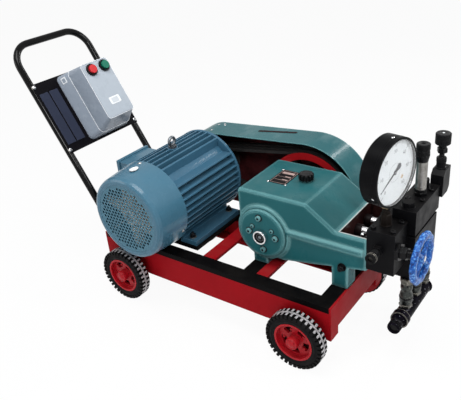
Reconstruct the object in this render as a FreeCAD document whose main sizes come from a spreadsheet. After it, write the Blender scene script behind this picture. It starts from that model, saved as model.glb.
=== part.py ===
"""Wheeled electric hydrostatic test pump: trolley, belt-driven plunger pump, motor and valve head."""

import FreeCAD, Part
import math
import os
import re

import Sketcher
from FreeCAD import Placement, Rotation, Vector

# Driving dimensions in millimetres. x runs towards the pump head, y away from the near side.
# Places along x are measured from the front axle, along y from the middle of the trolley.

PLACE = {
    "front_axle_x": 336.01,
    "cart_mid_y": -20.0,
}

CLEARANCES = {
    "running_gap": 0.05,
    "free_gap": 0.3,
    "travel_gap": 5.0,
}

TROLLEY = {
    "wheel_radius": 75.0,
    "wheel_width": 34.0,
    "tyre_depth": 25.0,
    "tyre_shoulder": 5.0,
    "rim_wall": 5.0,
    "wheel_web": 8.0,
    "hub_radius": 15.0,
    "hub_recess": 1.0,
    "rim_recess": 2.0,
    "web_opening_inner": 22.0,
    "web_opening_outer": 37.0,
    "web_opening_start": 70.0,
    "web_opening_angle": 40.0,
    "web_opening_count": 5.0,
    "wheelbase": 549.0,
    "wheel_gap": 12.0,
    "axle_radius": 8.0,
    "axle_collar": 4.0,
    "axle_collar_radius": 12.0,
    "axle_block_length": 46.0,
    "axle_block_drop": 16.0,
    "frame_half_width": 140.0,
    "rail_bottom": 78.0,
    "rail_height": 77.0,
    "rail_width": 36.0,
    "rail_wall": 5.0,
    "front_overhang": 76.0,
    "rear_overhang": 91.0,
    "deck_height": 15.0,
    "deck_wall": 4.0,
    "cross_width": 38.0,
    "front_beam_height": 70.0,
    "beam_depth": 30.0,
    "rear_beam_height": 60.0,
    "red_bar_width": 32.0,
    "red_bar_height": 8.0,
    "motor_bar_place": -312.0,
}

HANDLE = {
    "handle_lean": 30.54,
    "handle_tube_radius": 11.0,
    "handle_foot_place": -609.8,
    "handle_inset": 12.0,
    "handle_length": 579.0,
    "handle_bend": 60.0,
    "handle_foot_trim": 20.0,
    "panel_start": 252.0,
    "panel_length": 212.0,
    "panel_overlap": 5.0,
    "panel_thickness": 3.0,
    "panel_rib_height": 1.5,
    "panel_rib_width": 30.0,
    "panel_rib_start": 24.0,
    "panel_rib_length": 156.0,
    "panel_rib_gap": 3.0,
    "box_start": 259.0,
    "box_length": 202.0,
    "box_side_place": -52.0,
    "box_width": 155.0,
    "box_corner": 16.0,
    "box_base_height": 36.0,
    "base_slope_side": 17.0,
    "base_slope_end": 4.0,
    "box_cover_height": 58.0,
    "cover_slope_low": 20.0,
    "cover_slope_high": 10.0,
    "cover_slope_near": 6.0,
    "cover_slope_far": 18.0,
    "box_edge": 3.0,
    "box_wall": 3.0,
    "button_radius": 12.0,
    "button_height": 8.0,
    "button_travel": 3.0,
    "button_stem_radius": 6.0,
    "button_side_first": 0.0,
    "button_spacing": 47.0,
    "button_level": 426.0,
}

MOTOR = {
    "motor_place": -465.0,
    "shaft_height": 112.0,
    "motor_base_height": 8.0,
    "motor_base_length": 250.0,
    "base_margin": 6.0,
    "motor_base_width": 222.0,
    "cowl_length": 98.0,
    "cowl_front_radius": 112.5,
    "cowl_corner": 12.0,
    "cowl_knee_in": 3.5,
    "cowl_knee_back": 3.0,
    "cowl_face_in": 9.0,
    "cowl_wall": 2.5,
    "grille_radius": 94.0,
    "grille_lip": 5.0,
    "grille_thickness": 1.5,
    "grille_rings": 5.0,
    "grille_pitch": 15.0,
    "grille_hole": 5.5,
    "frame_length": 240.0,
    "barrel_radius": 98.0,
    "fin_radius": 118.0,
    "fin_thickness": 4.0,
    "fin_spacing": 17.0,
    "fin_count": 9.0,
    "top_fin_count": 7.0,
    "fan_shield": 16.0,
    "shield_length": 22.0,
    "shield_gap": 10.0,
    "shield_radius": 101.0,
    "shield_rim": 9.0,
    "shield_slope": 12.0,
    "shield_face": 15.0,
    "shield_boss_radius": 44.0,
    "shield_boss_slope": 6.0,
    "foot_spread": 95.0,
    "foot_width": 46.0,
    "foot_thickness": 14.0,
    "foot_web": 12.0,
    "foot_web_lap": 4.0,
    "foot_web_height": 56.0,
    "foot_start": 22.0,
    "foot_length": 196.0,
    "foot_bolt_radius": 6.0,
    "foot_bolt_spacing": 164.0,
    "motor_shaft_radius": 14.0,
    "fan_gap": 12.0,
    "fan_radius": 90.0,
    "fan_hub_radius": 22.0,
    "fan_width": 34.0,
    "fan_blade": 3.0,
    "fan_chord": 46.0,
    "fan_pitch": 40.0,
    "fan_blade_count": 6.0,
    "terminal_box_length": 110.0,
    "terminal_box_height": 60.0,
    "terminal_box_depth": 68.0,
    "terminal_box_start": 24.0,
    "terminal_box_out": 125.0,
    "terminal_box_top": 84.0,
    "terminal_lid": 9.0,
    "terminal_lip": 4.0,
    "eye_place": 106.0,
    "eye_boss_radius": 14.0,
    "eye_radius": 10.5,
    "eye_wire": 4.0,
    "eye_collar_radius": 11.0,
    "eye_collar_height": 6.0,
    "eye_sink": 2.0,
}

DRIVE = {
    "pulley_start": 164.0,
    "pulley_edge": 2.0,
    "groove_count": 3.0,
    "groove_pitch": 20.0,
    "groove_top": 16.0,
    "groove_bottom": 9.0,
    "groove_depth": 11.0,
    "belt_drop": 1.0,
    "belt_height": 8.0,
    "belt_side_gap": 0.4,
    "big_pulley_radius": 120.0,
    "big_rim_wall": 8.0,
    "big_hub_radius": 32.0,
    "big_spoke_width": 20.0,
    "big_spoke_depth": 16.0,
    "big_spoke_count": 5.0,
    "big_spoke_sink": 2.0,
    "small_pulley_radius": 50.0,
    "crank_radius": 17.0,
    "crank_depth": 20.0,
    "crank_bore_depth": 24.0,
    "crank_end": 4.0,
    "guard_start": 154.0,
    "guard_width": 92.0,
    "guard_wall": 2.0,
    "guard_big_radius": 150.0,
    "guard_small_radius": 101.0,
    "guard_plate_bottom": 130.0,
    "guard_foot_width": 34.0,
    "guard_foot_height": 4.0,
}

PUMP = {
    "pump_place": -150.0,
    "crank_height": 262.0,
    "case_start": -54.0,
    "case_width": 188.0,
    "case_back": 71.0,
    "case_top": 105.0,
    "case_bend": 116.0,
    "slope_reach": 76.0,
    "slope_drop": 53.0,
    "case_front": 268.0,
    "case_front_bottom": -28.0,
    "case_belly": 68.0,
    "case_belly_rise": 30.0,
    "case_belly_back": 38.0,
    "case_belly_front": 51.0,
    "case_lap": 1.0,
    "case_corner": 8.0,
    "case_edge": 5.0,
    "window_wall": 9.0,
    "window_back": 8.0,
    "window_depth": 58.0,
    "pump_foot_length": 40.0,
    "rear_foot_place": -34.0,
    "front_foot_place": 184.0,
    "pump_foot_width": 40.0,
    "foot_root": 8.0,
    "front_foot_drop": 26.0,
    "cover_radius": 65.0,
    "cover_height": 7.0,
    "cover_slope": 6.0,
    "cover_edge": 2.0,
    "arch_radius": 72.0,
    "arch_height": 5.0,
    "arch_lap": 7.0,
    "rib_height": 17.0,
    "rib_depth": 5.0,
    "rib_level": 8.0,
    "rib_lap": 6.0,
    "rib_slope": 3.0,
    "glass_ring_radius": 18.5,
    "glass_ring_height": 11.0,
    "glass_ring_wall": 4.0,
    "glass_ring_floor": 4.0,
    "glass_ring_edge": 1.0,
    "glass_ring_drop": 6.0,
    "cap_place": 60.0,
    "cap_side": 54.0,
    "cap_radius": 19.0,
    "cap_height": 16.0,
    "cap_edge": 2.0,
    "cap_neck_radius": 13.0,
    "cap_neck_height": 4.0,
    "plunger_count": 3.0,
    "plunger_spacing": 52.0,
    "plunger_radius": 11.0,
    "gland_radius": 19.0,
    "gland_length": 26.0,
    "plunger_height": 14.0,
}

HEAD = {
    "block_depth": 64.0,
    "block_bottom": -20.0,
    "block_height": 101.0,
    "valve_block_out": 17.0,
    "valve_block_back": 37.0,
    "valve_block_near": 18.0,
    "valve_block_far": 166.0,
    "valve_block_top": 25.0,
    "valve_block_lip": 33.0,
    "plug_back": 10.0,
    "plug_radius": 14.0,
    "plug_height": 12.0,
    "plug_place": 40.0,
    "vent_radius": 9.0,
    "vent_height": 22.0,
    "vent_place": 143.0,
    "lower_block_far": 153.0,
    "lower_block_top": 43.0,
    "lower_block_bottom": -67.0,
    "lower_block_out": 18.0,
    "lower_block_near": 18.0,
    "lower_block_back": 32.0,
    "outlet_radius": 14.0,
    "outlet_bore": 6.0,
    "outlet_length": 40.0,
    "outlet_depth": 24.0,
    "outlet_nut": 10.0,
    "outlet_cap_radius": 12.0,
    "outlet_cap": 14.0,
    "outlet_spout_radius": 9.0,
    "outlet_place": 27.0,
    "outlet_level": 36.0,
}

GAUGE = {
    "gauge_place": 26.5,
    "gauge_side": -15.0,
    "gauge_turn": -9.6,
    "adapter_radius": 11.0,
    "adapter_height": 28.0,
    "nipple_radius": 7.5,
    "nipple_height": 29.0,
    "gauge_radius": 76.0,
    "gauge_depth": 43.0,
    "gauge_socket": 4.0,
    "gauge_rim": 5.0,
    "gauge_rim_depth": 7.0,
    "gauge_corner": 4.0,
    "pin_depth": 4.0,
    "glass_thickness": 2.0,
    "pointer_rest": -149.0,
    "pointer_length": 58.0,
    "pointer_width": 4.0,
    "pointer_tail": 25.0,
    "pointer_tail_bulge": 17.5,
    "pointer_tail_width": 7.0,
    "pointer_thickness": 0.8,
    "pointer_hub_radius": 4.0,
    "pointer_pin_radius": 1.5,
}

VALVES = {
    "relief_side": 104.0,
    "relief_back": 7.5,
    "relief_radius": 10.7,
    "relief_height": 83.0,
    "relief_cap_radius": 15.4,
    "relief_cap_height": 42.0,
    "relief_taper": 13.0,
    "relief_waist": 0.8,
    "relief_waist_level": 25.0,
    "relief_band_level": 34.0,
    "relief_nut_radius": 15.0,
    "relief_nut_height": 9.0,
    "stop_side": -36.0,
    "stop_level": 35.0,
    "stop_flange_radius": 21.0,
    "stop_flange_length": 8.0,
    "stop_nut_radius": 15.0,
    "stop_nut_length": 15.0,
    "stop_bonnet_radius": 10.0,
    "stop_bonnet_length": 36.0,
    "stop_stem_radius": 5.0,
    "wheel_reach": 53.0,
    "hand_radius": 60.0,
    "hand_rim_width": 19.0,
    "hand_rim_depth": 15.0,
    "hand_rim_edge": 4.0,
    "hand_hub_radius": 12.0,
    "hand_hub_length": 16.0,
    "hand_spoke_count": 4.0,
    "hand_spoke_radius": 4.5,
    "hand_spoke_turn": 45.0,
    "needle_out": 8.0,
    "needle_body_width": 30.0,
    "needle_body_depth": 46.0,
    "needle_body_height": 64.0,
    "needle_body_drop": 30.0,
    "needle_body_corner": 11.0,
    "needle_side": 21.0,
    "needle_gland_radius": 10.8,
    "needle_gland_height": 27.0,
    "needle_bore_depth": 20.0,
    "needle_stem_radius": 5.4,
    "needle_stem_depth": 14.0,
    "needle_lock_radius": 12.0,
    "needle_lock_height": 16.0,
    "needle_travel": 28.0,
    "knob_shoulder": 6.0,
    "knob_neck_radius": 9.3,
    "knob_radius": 17.6,
    "knob_height": 32.0,
    "knob_edge": 1.5,
    "manifold_out": 3.0,
    "manifold_level": 94.0,
    "manifold_radius": 18.5,
    "manifold_wall": 4.0,
    "manifold_start": -11.0,
    "manifold_length": 160.0,
    "collar_radius": 21.0,
    "collar_length": 16.0,
    "hose_radius": 14.5,
    "hose_bore": 10.0,
    "hose_length": 35.0,
    "drop_radius": 11.0,
    "drop_neck_radius": 8.5,
    "drop_neck_height": 7.0,
    "drop_nut_radius": 13.5,
    "drop_nut_height": 26.0,
    "drop_seat_radius": 12.5,
    "drop_seat_height": 8.0,
    "drop_first": 25.0,
    "drop_spacing": 56.0,
    "drop_count": 3.0,
}

SIZES = {}
for group in (PLACE, CLEARANCES, TROLLEY, HANDLE, MOTOR, DRIVE, PUMP, HEAD, GAUGE, VALVES):
    SIZES.update(group)

# Places worked out from the sizes above, written as formulas of the sheet
DERIVED = {
    "deck_top": "rail_bottom + rail_height + deck_height",
    "deck_bottom": "rail_bottom + rail_height",
    "rail_inner": "frame_half_width - rail_width",
    "wheel_inner": "frame_half_width + wheel_gap",
    "wheel_outer": "wheel_inner + wheel_width",
    "frame_front": "front_axle_x + front_overhang",
    "frame_rear": "front_axle_x - wheelbase - rear_overhang",
    "motor_x": "front_axle_x + motor_place",
    "motor_axis": "deck_top + motor_base_height + shaft_height",
    "cowl_radius": "motor_base_height + shaft_height - free_gap",
    "pulley_near": "cart_mid_y + pulley_start",
    "frame_far": "pulley_near - shield_gap - shield_length",
    "frame_near": "frame_far - frame_length",
    "motor_near": "frame_near - cowl_length",
    "motor_base_near": "frame_near + foot_start - base_margin",
    "fan_start": "motor_near + cowl_wall + grille_thickness + fan_gap",
    "pulley_width": "groove_count * groove_pitch + 2 * pulley_edge",
    "guard_near": "cart_mid_y + guard_start",
    "crank_x": "front_axle_x + pump_place",
    "case_near": "cart_mid_y + case_start",
    "case_far": "case_near + case_width",
    "case_front_x": "crank_x + case_front",
    "block_front_x": "case_front_x + block_depth",
    "block_top": "crank_height + block_bottom + block_height",
    "valve_top": "block_top + valve_block_top",
    "gauge_x": "case_front_x + gauge_place",
    "gauge_y": "cart_mid_y + gauge_side",
    "gauge_axis": "block_top + adapter_height + nipple_height + gauge_radius - gauge_socket",
    "handle_half_width": "frame_half_width - handle_inset",
    "handle_foot_x": "front_axle_x + handle_foot_place",
    "lean_cos": "cos(handle_lean)",
    "lean_sin": "sin(handle_lean)",
    "panel_face": "handle_tube_radius + panel_thickness",
    "box_face": "panel_face + box_base_height + box_cover_height",
}

DOC = FreeCAD.newDocument("TestPump")
SHEET = DOC.addObject("Spreadsheet::Sheet", "Sizes")
NAME = re.compile(r"\b([a-z_]+)\b(?!\()")


def fill_sheet():
    """Writes every size, then every formula, to a named cell."""
    for row, (name, size) in enumerate(SIZES.items(), 1):
        SHEET.set(f"A{row}", name)
        SHEET.set(f"B{row}", str(size))
        SHEET.setAlias(f"B{row}", name)
    for row, (name, text) in enumerate(DERIVED.items(), len(SIZES) + 1):
        SHEET.set(f"A{row}", name)
        SHEET.set(f"B{row}", "=" + text)
        SHEET.setAlias(f"B{row}", name)
    DOC.recompute()


def formula(text):
    """The text of a size formula with each name pointing at its cell."""
    def cell(match):
        name = match.group(1)
        return "Sizes." + name if name in SIZES or name in DERIVED else name
    return NAME.sub(cell, str(text))


def size(text):
    """The number that a size formula gives."""
    return float(SHEET.evalExpression(formula(text)))


def bind(item, **formulas):
    for prop, text in formulas.items():
        item.setExpression(prop, formula(text))


def place(item, spot, turn=None):
    """Puts an object at a spot given as three formulas, with an optional turn."""
    item.Placement = Placement(Vector(*(size(text) for text in spot)), turn or Rotation())
    for axis, text in zip("xyz", spot):
        item.setExpression(f"Placement.Base.{axis}", formula(text))
    return item


TURNS = {
    "x": Rotation(Vector(0, 1, 0), 90),
    "y": Rotation(Vector(1, 0, 0), -90),
    "z": Rotation(),
}
KEPT = []


def keep(item, label):
    """Names an object as a sub-part of the pump."""
    item.Label = label
    KEPT.append(item)
    return item


# Primitive solids and booleans


def box(spot, length, width, height):
    item = DOC.addObject("Part::Box", "Block")
    bind(item, Length=length, Width=width, Height=height)
    return place(item, spot)


def rod(spot, axis, radius, length):
    item = DOC.addObject("Part::Cylinder", "Rod")
    bind(item, Radius=radius, Height=length)
    return place(item, spot, TURNS[axis])


def hexagon(spot, axis, radius, length):
    item = DOC.addObject("Part::Prism", "Hexagon")
    item.Polygon = 6
    bind(item, Circumradius=radius, Height=length)
    return place(item, spot, TURNS[axis])


def join(*pieces):
    item = DOC.addObject("Part::MultiFuse", "Joined")
    item.Shapes = list(pieces)
    return item


def cut(base, *tools):
    item = DOC.addObject("Part::Cut", "Cut")
    item.Base = base
    item.Tool = tools[0] if len(tools) == 1 else join(*tools)
    return item


def common(*pieces):
    item = DOC.addObject("Part::MultiCommon", "Common")
    item.Shapes = list(pieces)
    return item


# Bodies made from sketches


def new_body(label):
    return DOC.addObject("PartDesign::Body", label)


def origin_plane(body, role):
    return next(f for f in body.Origin.OriginFeatures if f.Role == role)


def new_sketch(body, role, offset="0"):
    """A sketch on one of the body's origin planes, moved along the plane's normal."""
    sketch = body.newObject("Sketcher::SketchObject", "Sketch")
    sketch.AttachmentSupport = [(origin_plane(body, role), "")]
    sketch.MapMode = "FlatFace"
    sketch.AttachmentOffset = Placement(Vector(0, 0, size(offset)), Rotation())
    sketch.setExpression("AttachmentOffset.Base.z", formula(offset))
    return sketch


def pin_point(sketch, curve, end, x, y):
    """Ties one end of a sketch curve to a place given as formulas."""
    for kind, text in (("DistanceX", x), ("DistanceY", y)):
        index = sketch.addConstraint(Sketcher.Constraint(kind, -1, 1, curve, end, size(text)))
        sketch.setExpression(f"Constraints[{index}]", formula(text))


def outline(sketch, points):
    """A closed outline of straight lines through points given as pairs of formulas."""
    spots = [Vector(size(x), size(y), 0) for x, y in points]
    count = len(spots)
    first = sketch.GeometryCount
    for i in range(count):
        sketch.addGeometry(Part.LineSegment(spots[i], spots[(i + 1) % count]), False)
    for i in range(count):
        sketch.addConstraint(Sketcher.Constraint("Coincident", first + i, 2, first + (i + 1) % count, 1))
    for i, (x, y) in enumerate(points):
        pin_point(sketch, first + i, 1, x, y)


def ring(sketch, x, y, radius):
    """A circle about a place given as formulas."""
    centre = Vector(size(x), size(y), 0)
    curve = sketch.addGeometry(Part.Circle(centre, Vector(0, 0, 1), size(radius)), False)
    pin_point(sketch, curve, 3, x, y)
    index = sketch.addConstraint(Sketcher.Constraint("Radius", curve, size(radius)))
    sketch.setExpression(f"Constraints[{index}]", formula(radius))


def sector(sketch, inner, outer, start, sweep):
    """A closed piece of a ring about the sketch's origin, with its angles in degrees."""
    low = math.radians(size(start))
    high = low + math.radians(size(sweep))
    radii = (inner, outer)
    arcs = []
    for radius in radii:
        circle = Part.Circle(Vector(), Vector(0, 0, 1), size(radius))
        curve = sketch.addGeometry(Part.ArcOfCircle(circle, low, high), False)
        sketch.addConstraint(Sketcher.Constraint("Coincident", curve, 3, -1, 1))
        index = sketch.addConstraint(Sketcher.Constraint("Radius", curve, size(radius)))
        sketch.setExpression(f"Constraints[{index}]", formula(radius))
        arcs.append(curve)
    for end, angle, text in ((1, low, start), (2, high, f"{start} + {sweep}")):
        ray = Vector(math.cos(angle), math.sin(angle), 0)
        near, far = (ray * size(radius) for radius in radii)
        line = sketch.addGeometry(Part.LineSegment(near, far), False)
        sketch.addConstraint(Sketcher.Constraint("Coincident", line, 1, arcs[0], end))
        sketch.addConstraint(Sketcher.Constraint("Coincident", line, 2, arcs[1], end))
        sketch.addConstraint(Sketcher.Constraint("PointOnObject", -1, 1, line))
        index = sketch.addConstraint(Sketcher.Constraint("Angle", line, angle))
        sketch.setExpression(f"Constraints[{index}]", f"({formula(text)}) * 1 deg")


def pad(body, sketch, length, reverse=False):
    item = body.newObject("PartDesign::Pad", "Pad")
    item.Profile = sketch
    item.Reversed = reverse
    bind(item, Length=length)
    return item


def pocket(body, sketch, length, reverse=False):
    item = body.newObject("PartDesign::Pocket", "Pocket")
    item.Profile = sketch
    item.Reversed = reverse
    bind(item, Length=length)
    return item


def polar(body, feature, sketch, count):
    """Repeats a feature around the normal of its sketch."""
    item = body.newObject("PartDesign::PolarPattern", "Around")
    item.Originals = [feature]
    item.Axis = (sketch, ["N_Axis"])
    item.Angle = 360
    bind(item, Occurrences=count)
    body.Tip = item
    return item


def turned(profile, spot=None, axis="z"):
    """A body turned about an axis, from points given as radius and distance along it."""
    body = new_body("Turned")
    sketch = new_sketch(body, "XZ_Plane")
    outline(sketch, profile)
    item = body.newObject("PartDesign::Revolution", "Revolution")
    item.Profile = sketch
    item.ReferenceAxis = (sketch, ["V_Axis"])
    item.Angle = 360
    return place(body, spot, TURNS[axis]) if spot else body


def extruded(points, spot, length, role="XZ_Plane"):
    """A body padded from one outline: away along y from the XZ plane, or along x or z."""
    body = new_body("Extruded")
    sketch = new_sketch(body, role)
    outline(sketch, points)
    pad(body, sketch, length, reverse=role == "XZ_Plane")
    return place(body, spot)


def round_edges(body, feature, radius, wanted):
    """Rounds the edges of a feature whose bounding boxes pass a test."""
    DOC.recompute()
    names = [f"Edge{number}" for number, edge in enumerate(feature.Shape.Edges, 1) if wanted(edge.BoundBox)]
    item = body.newObject("PartDesign::Fillet", "Rounded")
    item.Base = (feature, names)
    bind(item, Radius=radius)
    return item


# Trolley: rails, beams, deck, axles and wheels

AXLES = {"front": "front_axle_x", "rear": "front_axle_x - wheelbase"}
RAIL_START = "frame_rear + rail_wall"
RAIL_LENGTH = "frame_front - frame_rear - 2 * rail_wall"


def side_rail(label, side):
    """A channel with its web outside, and a block under it at each axle."""
    profile = [
        (f"{side} * frame_half_width", "0"),
        (f"{side} * rail_inner", "0"),
        (f"{side} * rail_inner", "rail_wall"),
        (f"{side} * (frame_half_width - rail_wall)", "rail_wall"),
        (f"{side} * (frame_half_width - rail_wall)", "rail_height - rail_wall"),
        (f"{side} * rail_inner", "rail_height - rail_wall"),
        (f"{side} * rail_inner", "rail_height"),
        (f"{side} * frame_half_width", "rail_height"),
    ]
    rail = extruded(profile, (RAIL_START, "cart_mid_y", "rail_bottom"), RAIL_LENGTH, "YZ_Plane")
    near = "cart_mid_y - frame_half_width" if side < 0 else "cart_mid_y + rail_inner"
    blocks, bores = [], []
    for x in AXLES.values():
        blocks.append(box((f"{x} - axle_block_length / 2", near, "rail_bottom - axle_block_drop"),
                          "axle_block_length", "rail_width", "axle_block_drop"))
        bores.append(rod((x, near, "wheel_radius"), "y", "axle_radius + running_gap", "rail_width"))
    keep(cut(join(rail, *blocks), *bores), label)


def deck_frame():
    """Two angles on the rails, joined by flat bars under the pump and over the rear beam."""
    strips = []
    for side in (-1, 1):
        profile = [
            (f"{side} * frame_half_width", "0"),
            (f"{side} * (frame_half_width - deck_wall)", "0"),
            (f"{side} * (frame_half_width - deck_wall)", "deck_height - deck_wall"),
            (f"{side} * rail_inner", "deck_height - deck_wall"),
            (f"{side} * rail_inner", "deck_height"),
            (f"{side} * frame_half_width", "deck_height"),
        ]
        strips.append(extruded(profile, (RAIL_START, "cart_mid_y", "deck_bottom"), RAIL_LENGTH, "YZ_Plane"))
    bars = [
        box((start, "cart_mid_y - rail_inner", "deck_bottom"), width, "2 * rail_inner", "deck_height")
        for start, width in (
            ("frame_front - rail_wall - cross_width", "cross_width"),
            ("crank_x + rear_foot_place", "cross_width"),
            (RAIL_START, "beam_depth - rail_wall"),
        )
    ]
    keep(join(*strips, *bars), "deck_frame")


def red_bars():
    """Red bars across the frame, under the pump and under the motor."""
    bars = [
        box((start, "cart_mid_y - rail_inner", "deck_top - red_bar_height"), width, "2 * rail_inner",
            "red_bar_height")
        for start, width in (
            ("crank_x + rear_foot_place + cross_width", "red_bar_width"),
            ("front_axle_x + motor_bar_place", "cross_width"),
        )
    ]
    keep(join(*bars), "red_cross_bars")


def end_beam(label, height, plate_x, flange_x):
    """A plate across one end of the frame that closes both rails, with two flanges inside it."""
    low = f"deck_top - {height}"
    near = "cart_mid_y - frame_half_width"
    plate = box((plate_x, near, low), "rail_wall", "2 * frame_half_width", height)
    flanges = [
        box((flange_x, "cart_mid_y - rail_inner", z), "beam_depth", "2 * rail_inner", "rail_wall")
        for z in (low, "deck_bottom - rail_wall")
    ]
    caps = [
        box((plate_x, y, "rail_bottom"), "rail_wall", "rail_width", f"{low} - rail_bottom")
        for y in (near, "cart_mid_y + rail_inner")
    ]
    keep(join(plate, *flanges, *caps), label)


def axle(label, x):
    """A fixed round axle with a collar outside each wheel."""
    shaft = rod((x, "cart_mid_y - wheel_outer - axle_collar", "wheel_radius"), "y", "axle_radius",
                "2 * (wheel_outer + axle_collar)")
    collars = [
        rod((x, y, "wheel_radius"), "y", "axle_collar_radius", "axle_collar - free_gap")
        for y in ("cart_mid_y - wheel_outer - axle_collar", "cart_mid_y + wheel_outer + free_gap")
    ]
    stops = [
        rod((x, y, "wheel_radius"), "y", "axle_collar_radius", "wheel_gap - free_gap")
        for y in ("cart_mid_y - wheel_inner + free_gap", "cart_mid_y + frame_half_width")
    ]
    keep(join(shaft, *collars, *stops), label)


def wheel(label, x, side):
    """A cast red hub with a rubber tyre on its rim."""
    near = "cart_mid_y - wheel_outer" if side < 0 else "cart_mid_y + wheel_inner"
    rim = "wheel_radius - tyre_depth"
    bore = "axle_radius + running_gap"
    rim_inner = f"{rim} - rim_wall"
    rim_high = "wheel_width - rim_recess"
    hub_high = "wheel_width - hub_recess"
    web_low = "wheel_width / 2 - wheel_web / 2"
    web_high = "wheel_width / 2 + wheel_web / 2"
    hub = new_body("Hub")
    sketch = new_sketch(hub, "XZ_Plane")
    outline(sketch, [
        (bore, "hub_recess"), ("hub_radius", "hub_recess"), ("hub_radius", web_low), (rim_inner, web_low),
        (rim_inner, "rim_recess"), (rim, "rim_recess"), (rim, rim_high), (rim_inner, rim_high),
        (rim_inner, web_high), ("hub_radius", web_high), ("hub_radius", hub_high), (bore, hub_high),
    ])
    spin = hub.newObject("PartDesign::Revolution", "Revolution")
    spin.Profile = sketch
    spin.ReferenceAxis = (sketch, ["V_Axis"])
    spin.Angle = 360
    cuts = new_sketch(hub, "XY_Plane", "wheel_width")
    sector(cuts, "web_opening_inner", "web_opening_outer", "web_opening_start", "web_opening_angle")
    opening = pocket(hub, cuts, "wheel_width")
    polar(hub, opening, cuts, "web_opening_count")
    place(hub, (x, near, "wheel_radius"), TURNS["y"])
    keep(hub, label + "_hub")
    tyre = turned([
        (rim, "rim_recess"), ("wheel_radius - tyre_shoulder", "0"), ("wheel_radius", "tyre_shoulder"),
        ("wheel_radius", "wheel_width - tyre_shoulder"), ("wheel_radius - tyre_shoulder", "wheel_width"),
        (rim, rim_high),
    ], (x, near, "wheel_radius"), "y")
    keep(tyre, label + "_tyre")


def trolley():
    side_rail("side_rail_near", -1)
    side_rail("side_rail_far", 1)
    deck_frame()
    end_beam("front_beam", "front_beam_height", "frame_front - rail_wall", "frame_front - beam_depth")
    end_beam("rear_beam", "rear_beam_height", "frame_rear", "frame_rear")
    red_bars()
    for end, x in AXLES.items():
        axle(f"{end}_axle", x)
        for name, side in (("near", -1), ("far", 1)):
            wheel(f"{end}_wheel_{name}", x, side)


# Handle with its panel and the starter box


LEAN = Rotation(Vector(0, 1, 0), -SIZES["handle_lean"])


def leaning(item, spot, turn=None):
    """Places an object at a spot measured out from, across and up the leaning handle from its foot."""
    out, across, up = spot
    place(item, (
        f"handle_foot_x + ({out}) * lean_cos - ({up}) * lean_sin",
        f"cart_mid_y + {across}",
        f"deck_top + ({out}) * lean_sin + ({up}) * lean_cos",
    ), LEAN.multiply(turn or Rotation()))
    return item


def leaning_box(spot, length, width, height):
    item = DOC.addObject("Part::Box", "Block")
    bind(item, Length=length, Width=width, Height=height)
    return leaning(item, spot)


def leaning_rod(spot, radius, length):
    item = DOC.addObject("Part::Cylinder", "Rod")
    bind(item, Radius=radius, Height=length)
    return leaning(item, spot, TURNS["x"])


def handle():
    """One bent tube, its legs trimmed level on the deck."""
    half = size("handle_half_width")
    top = size("handle_length")
    bend = size("handle_bend")
    low = -size("handle_foot_trim")
    arc = bend * (1 - math.sqrt(0.5))
    near = [Vector(0, -half, low), Vector(0, -half, top - bend), Vector(0, -half + arc, top - arc),
            Vector(0, -half + bend, top)]
    far = [Vector(p.x, -p.y, p.z) for p in reversed(near)]
    curves = [
        Part.LineSegment(near[0], near[1]), Part.Arc(*near[1:]), Part.LineSegment(near[3], far[0]),
        Part.Arc(*far[:3]), Part.LineSegment(far[2], far[3]),
    ]
    path = DOC.addObject("Part::Feature", "HandlePath")
    path.Shape = Part.Wire([curve.toShape() for curve in curves])
    section = DOC.addObject("Part::Circle", "HandleSection")
    bind(section, Radius="handle_tube_radius")
    section.Placement = Placement(near[0], Rotation())
    tube = DOC.addObject("Part::Sweep", "HandleTube")
    tube.Sections = [section]
    tube.Spine = (path, [])
    tube.Solid = True
    leaning(tube, ("0", "0", "0"))
    reach = "4 * handle_foot_trim"
    below = box((f"handle_foot_x - {reach}", "cart_mid_y - frame_half_width", f"deck_top - {reach}"),
                f"2 * {reach}", "2 * frame_half_width", reach)
    keep(cut(tube, below), "handle")


def handle_panel():
    """The sheet between the handle legs, with two raised strips beside the starter box."""
    edge = "handle_half_width + panel_overlap"
    sheet = leaning_box(("handle_tube_radius", f"-({edge})", "panel_start"),
                        "panel_thickness", f"2 * ({edge})", "panel_length")
    ribs = [
        leaning_box(("panel_face", f"-handle_half_width + {i} * (panel_rib_width + panel_rib_gap)",
                     "panel_start + panel_rib_start"),
                    "panel_rib_height", "panel_rib_width", "panel_rib_length")
        for i in range(2)
    ]
    keep(join(sheet, *ribs), "handle_panel")


def rounded_rectangle(sketch, low, high, radius):
    """A rectangle with round corners between two corners given as pairs of formulas."""
    (x0, y0), (x1, y1) = low, high
    ends = [
        ((f"{x0} + {radius}", y0), (f"{x1} - {radius}", y0)),
        ((x1, f"{y0} + {radius}"), (x1, f"{y1} - {radius}")),
        ((f"{x1} - {radius}", y1), (f"{x0} + {radius}", y1)),
        ((x0, f"{y1} - {radius}"), (x0, f"{y0} + {radius}")),
    ]
    lines = []
    for start, end in ends:
        spots = [Vector(size(x), size(y), 0) for x, y in (start, end)]
        line = sketch.addGeometry(Part.LineSegment(*spots), False)
        pin_point(sketch, line, 1, *start)
        pin_point(sketch, line, 2, *end)
        lines.append(line)
    for i, x in enumerate((f"{x1} - {radius}", f"{x1} - {radius}", f"{x0} + {radius}", f"{x0} + {radius}")):
        y = f"{y0} + {radius}" if i in (0, 3) else f"{y1} - {radius}"
        circle = Part.Circle(Vector(size(x), size(y), 0), Vector(0, 0, 1), size(radius))
        start = (i - 1) * math.pi / 2
        arc = sketch.addGeometry(Part.ArcOfCircle(circle, start, start + math.pi / 2), False)
        sketch.addConstraint(Sketcher.Constraint("Coincident", arc, 1, lines[i], 2))
        sketch.addConstraint(Sketcher.Constraint("Coincident", arc, 2, lines[(i + 1) % 4], 1))
        index = sketch.addConstraint(Sketcher.Constraint("DistanceX", -1, 1, arc, 3, size(x)))
        sketch.setExpression(f"Constraints[{index}]", formula(x))


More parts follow.
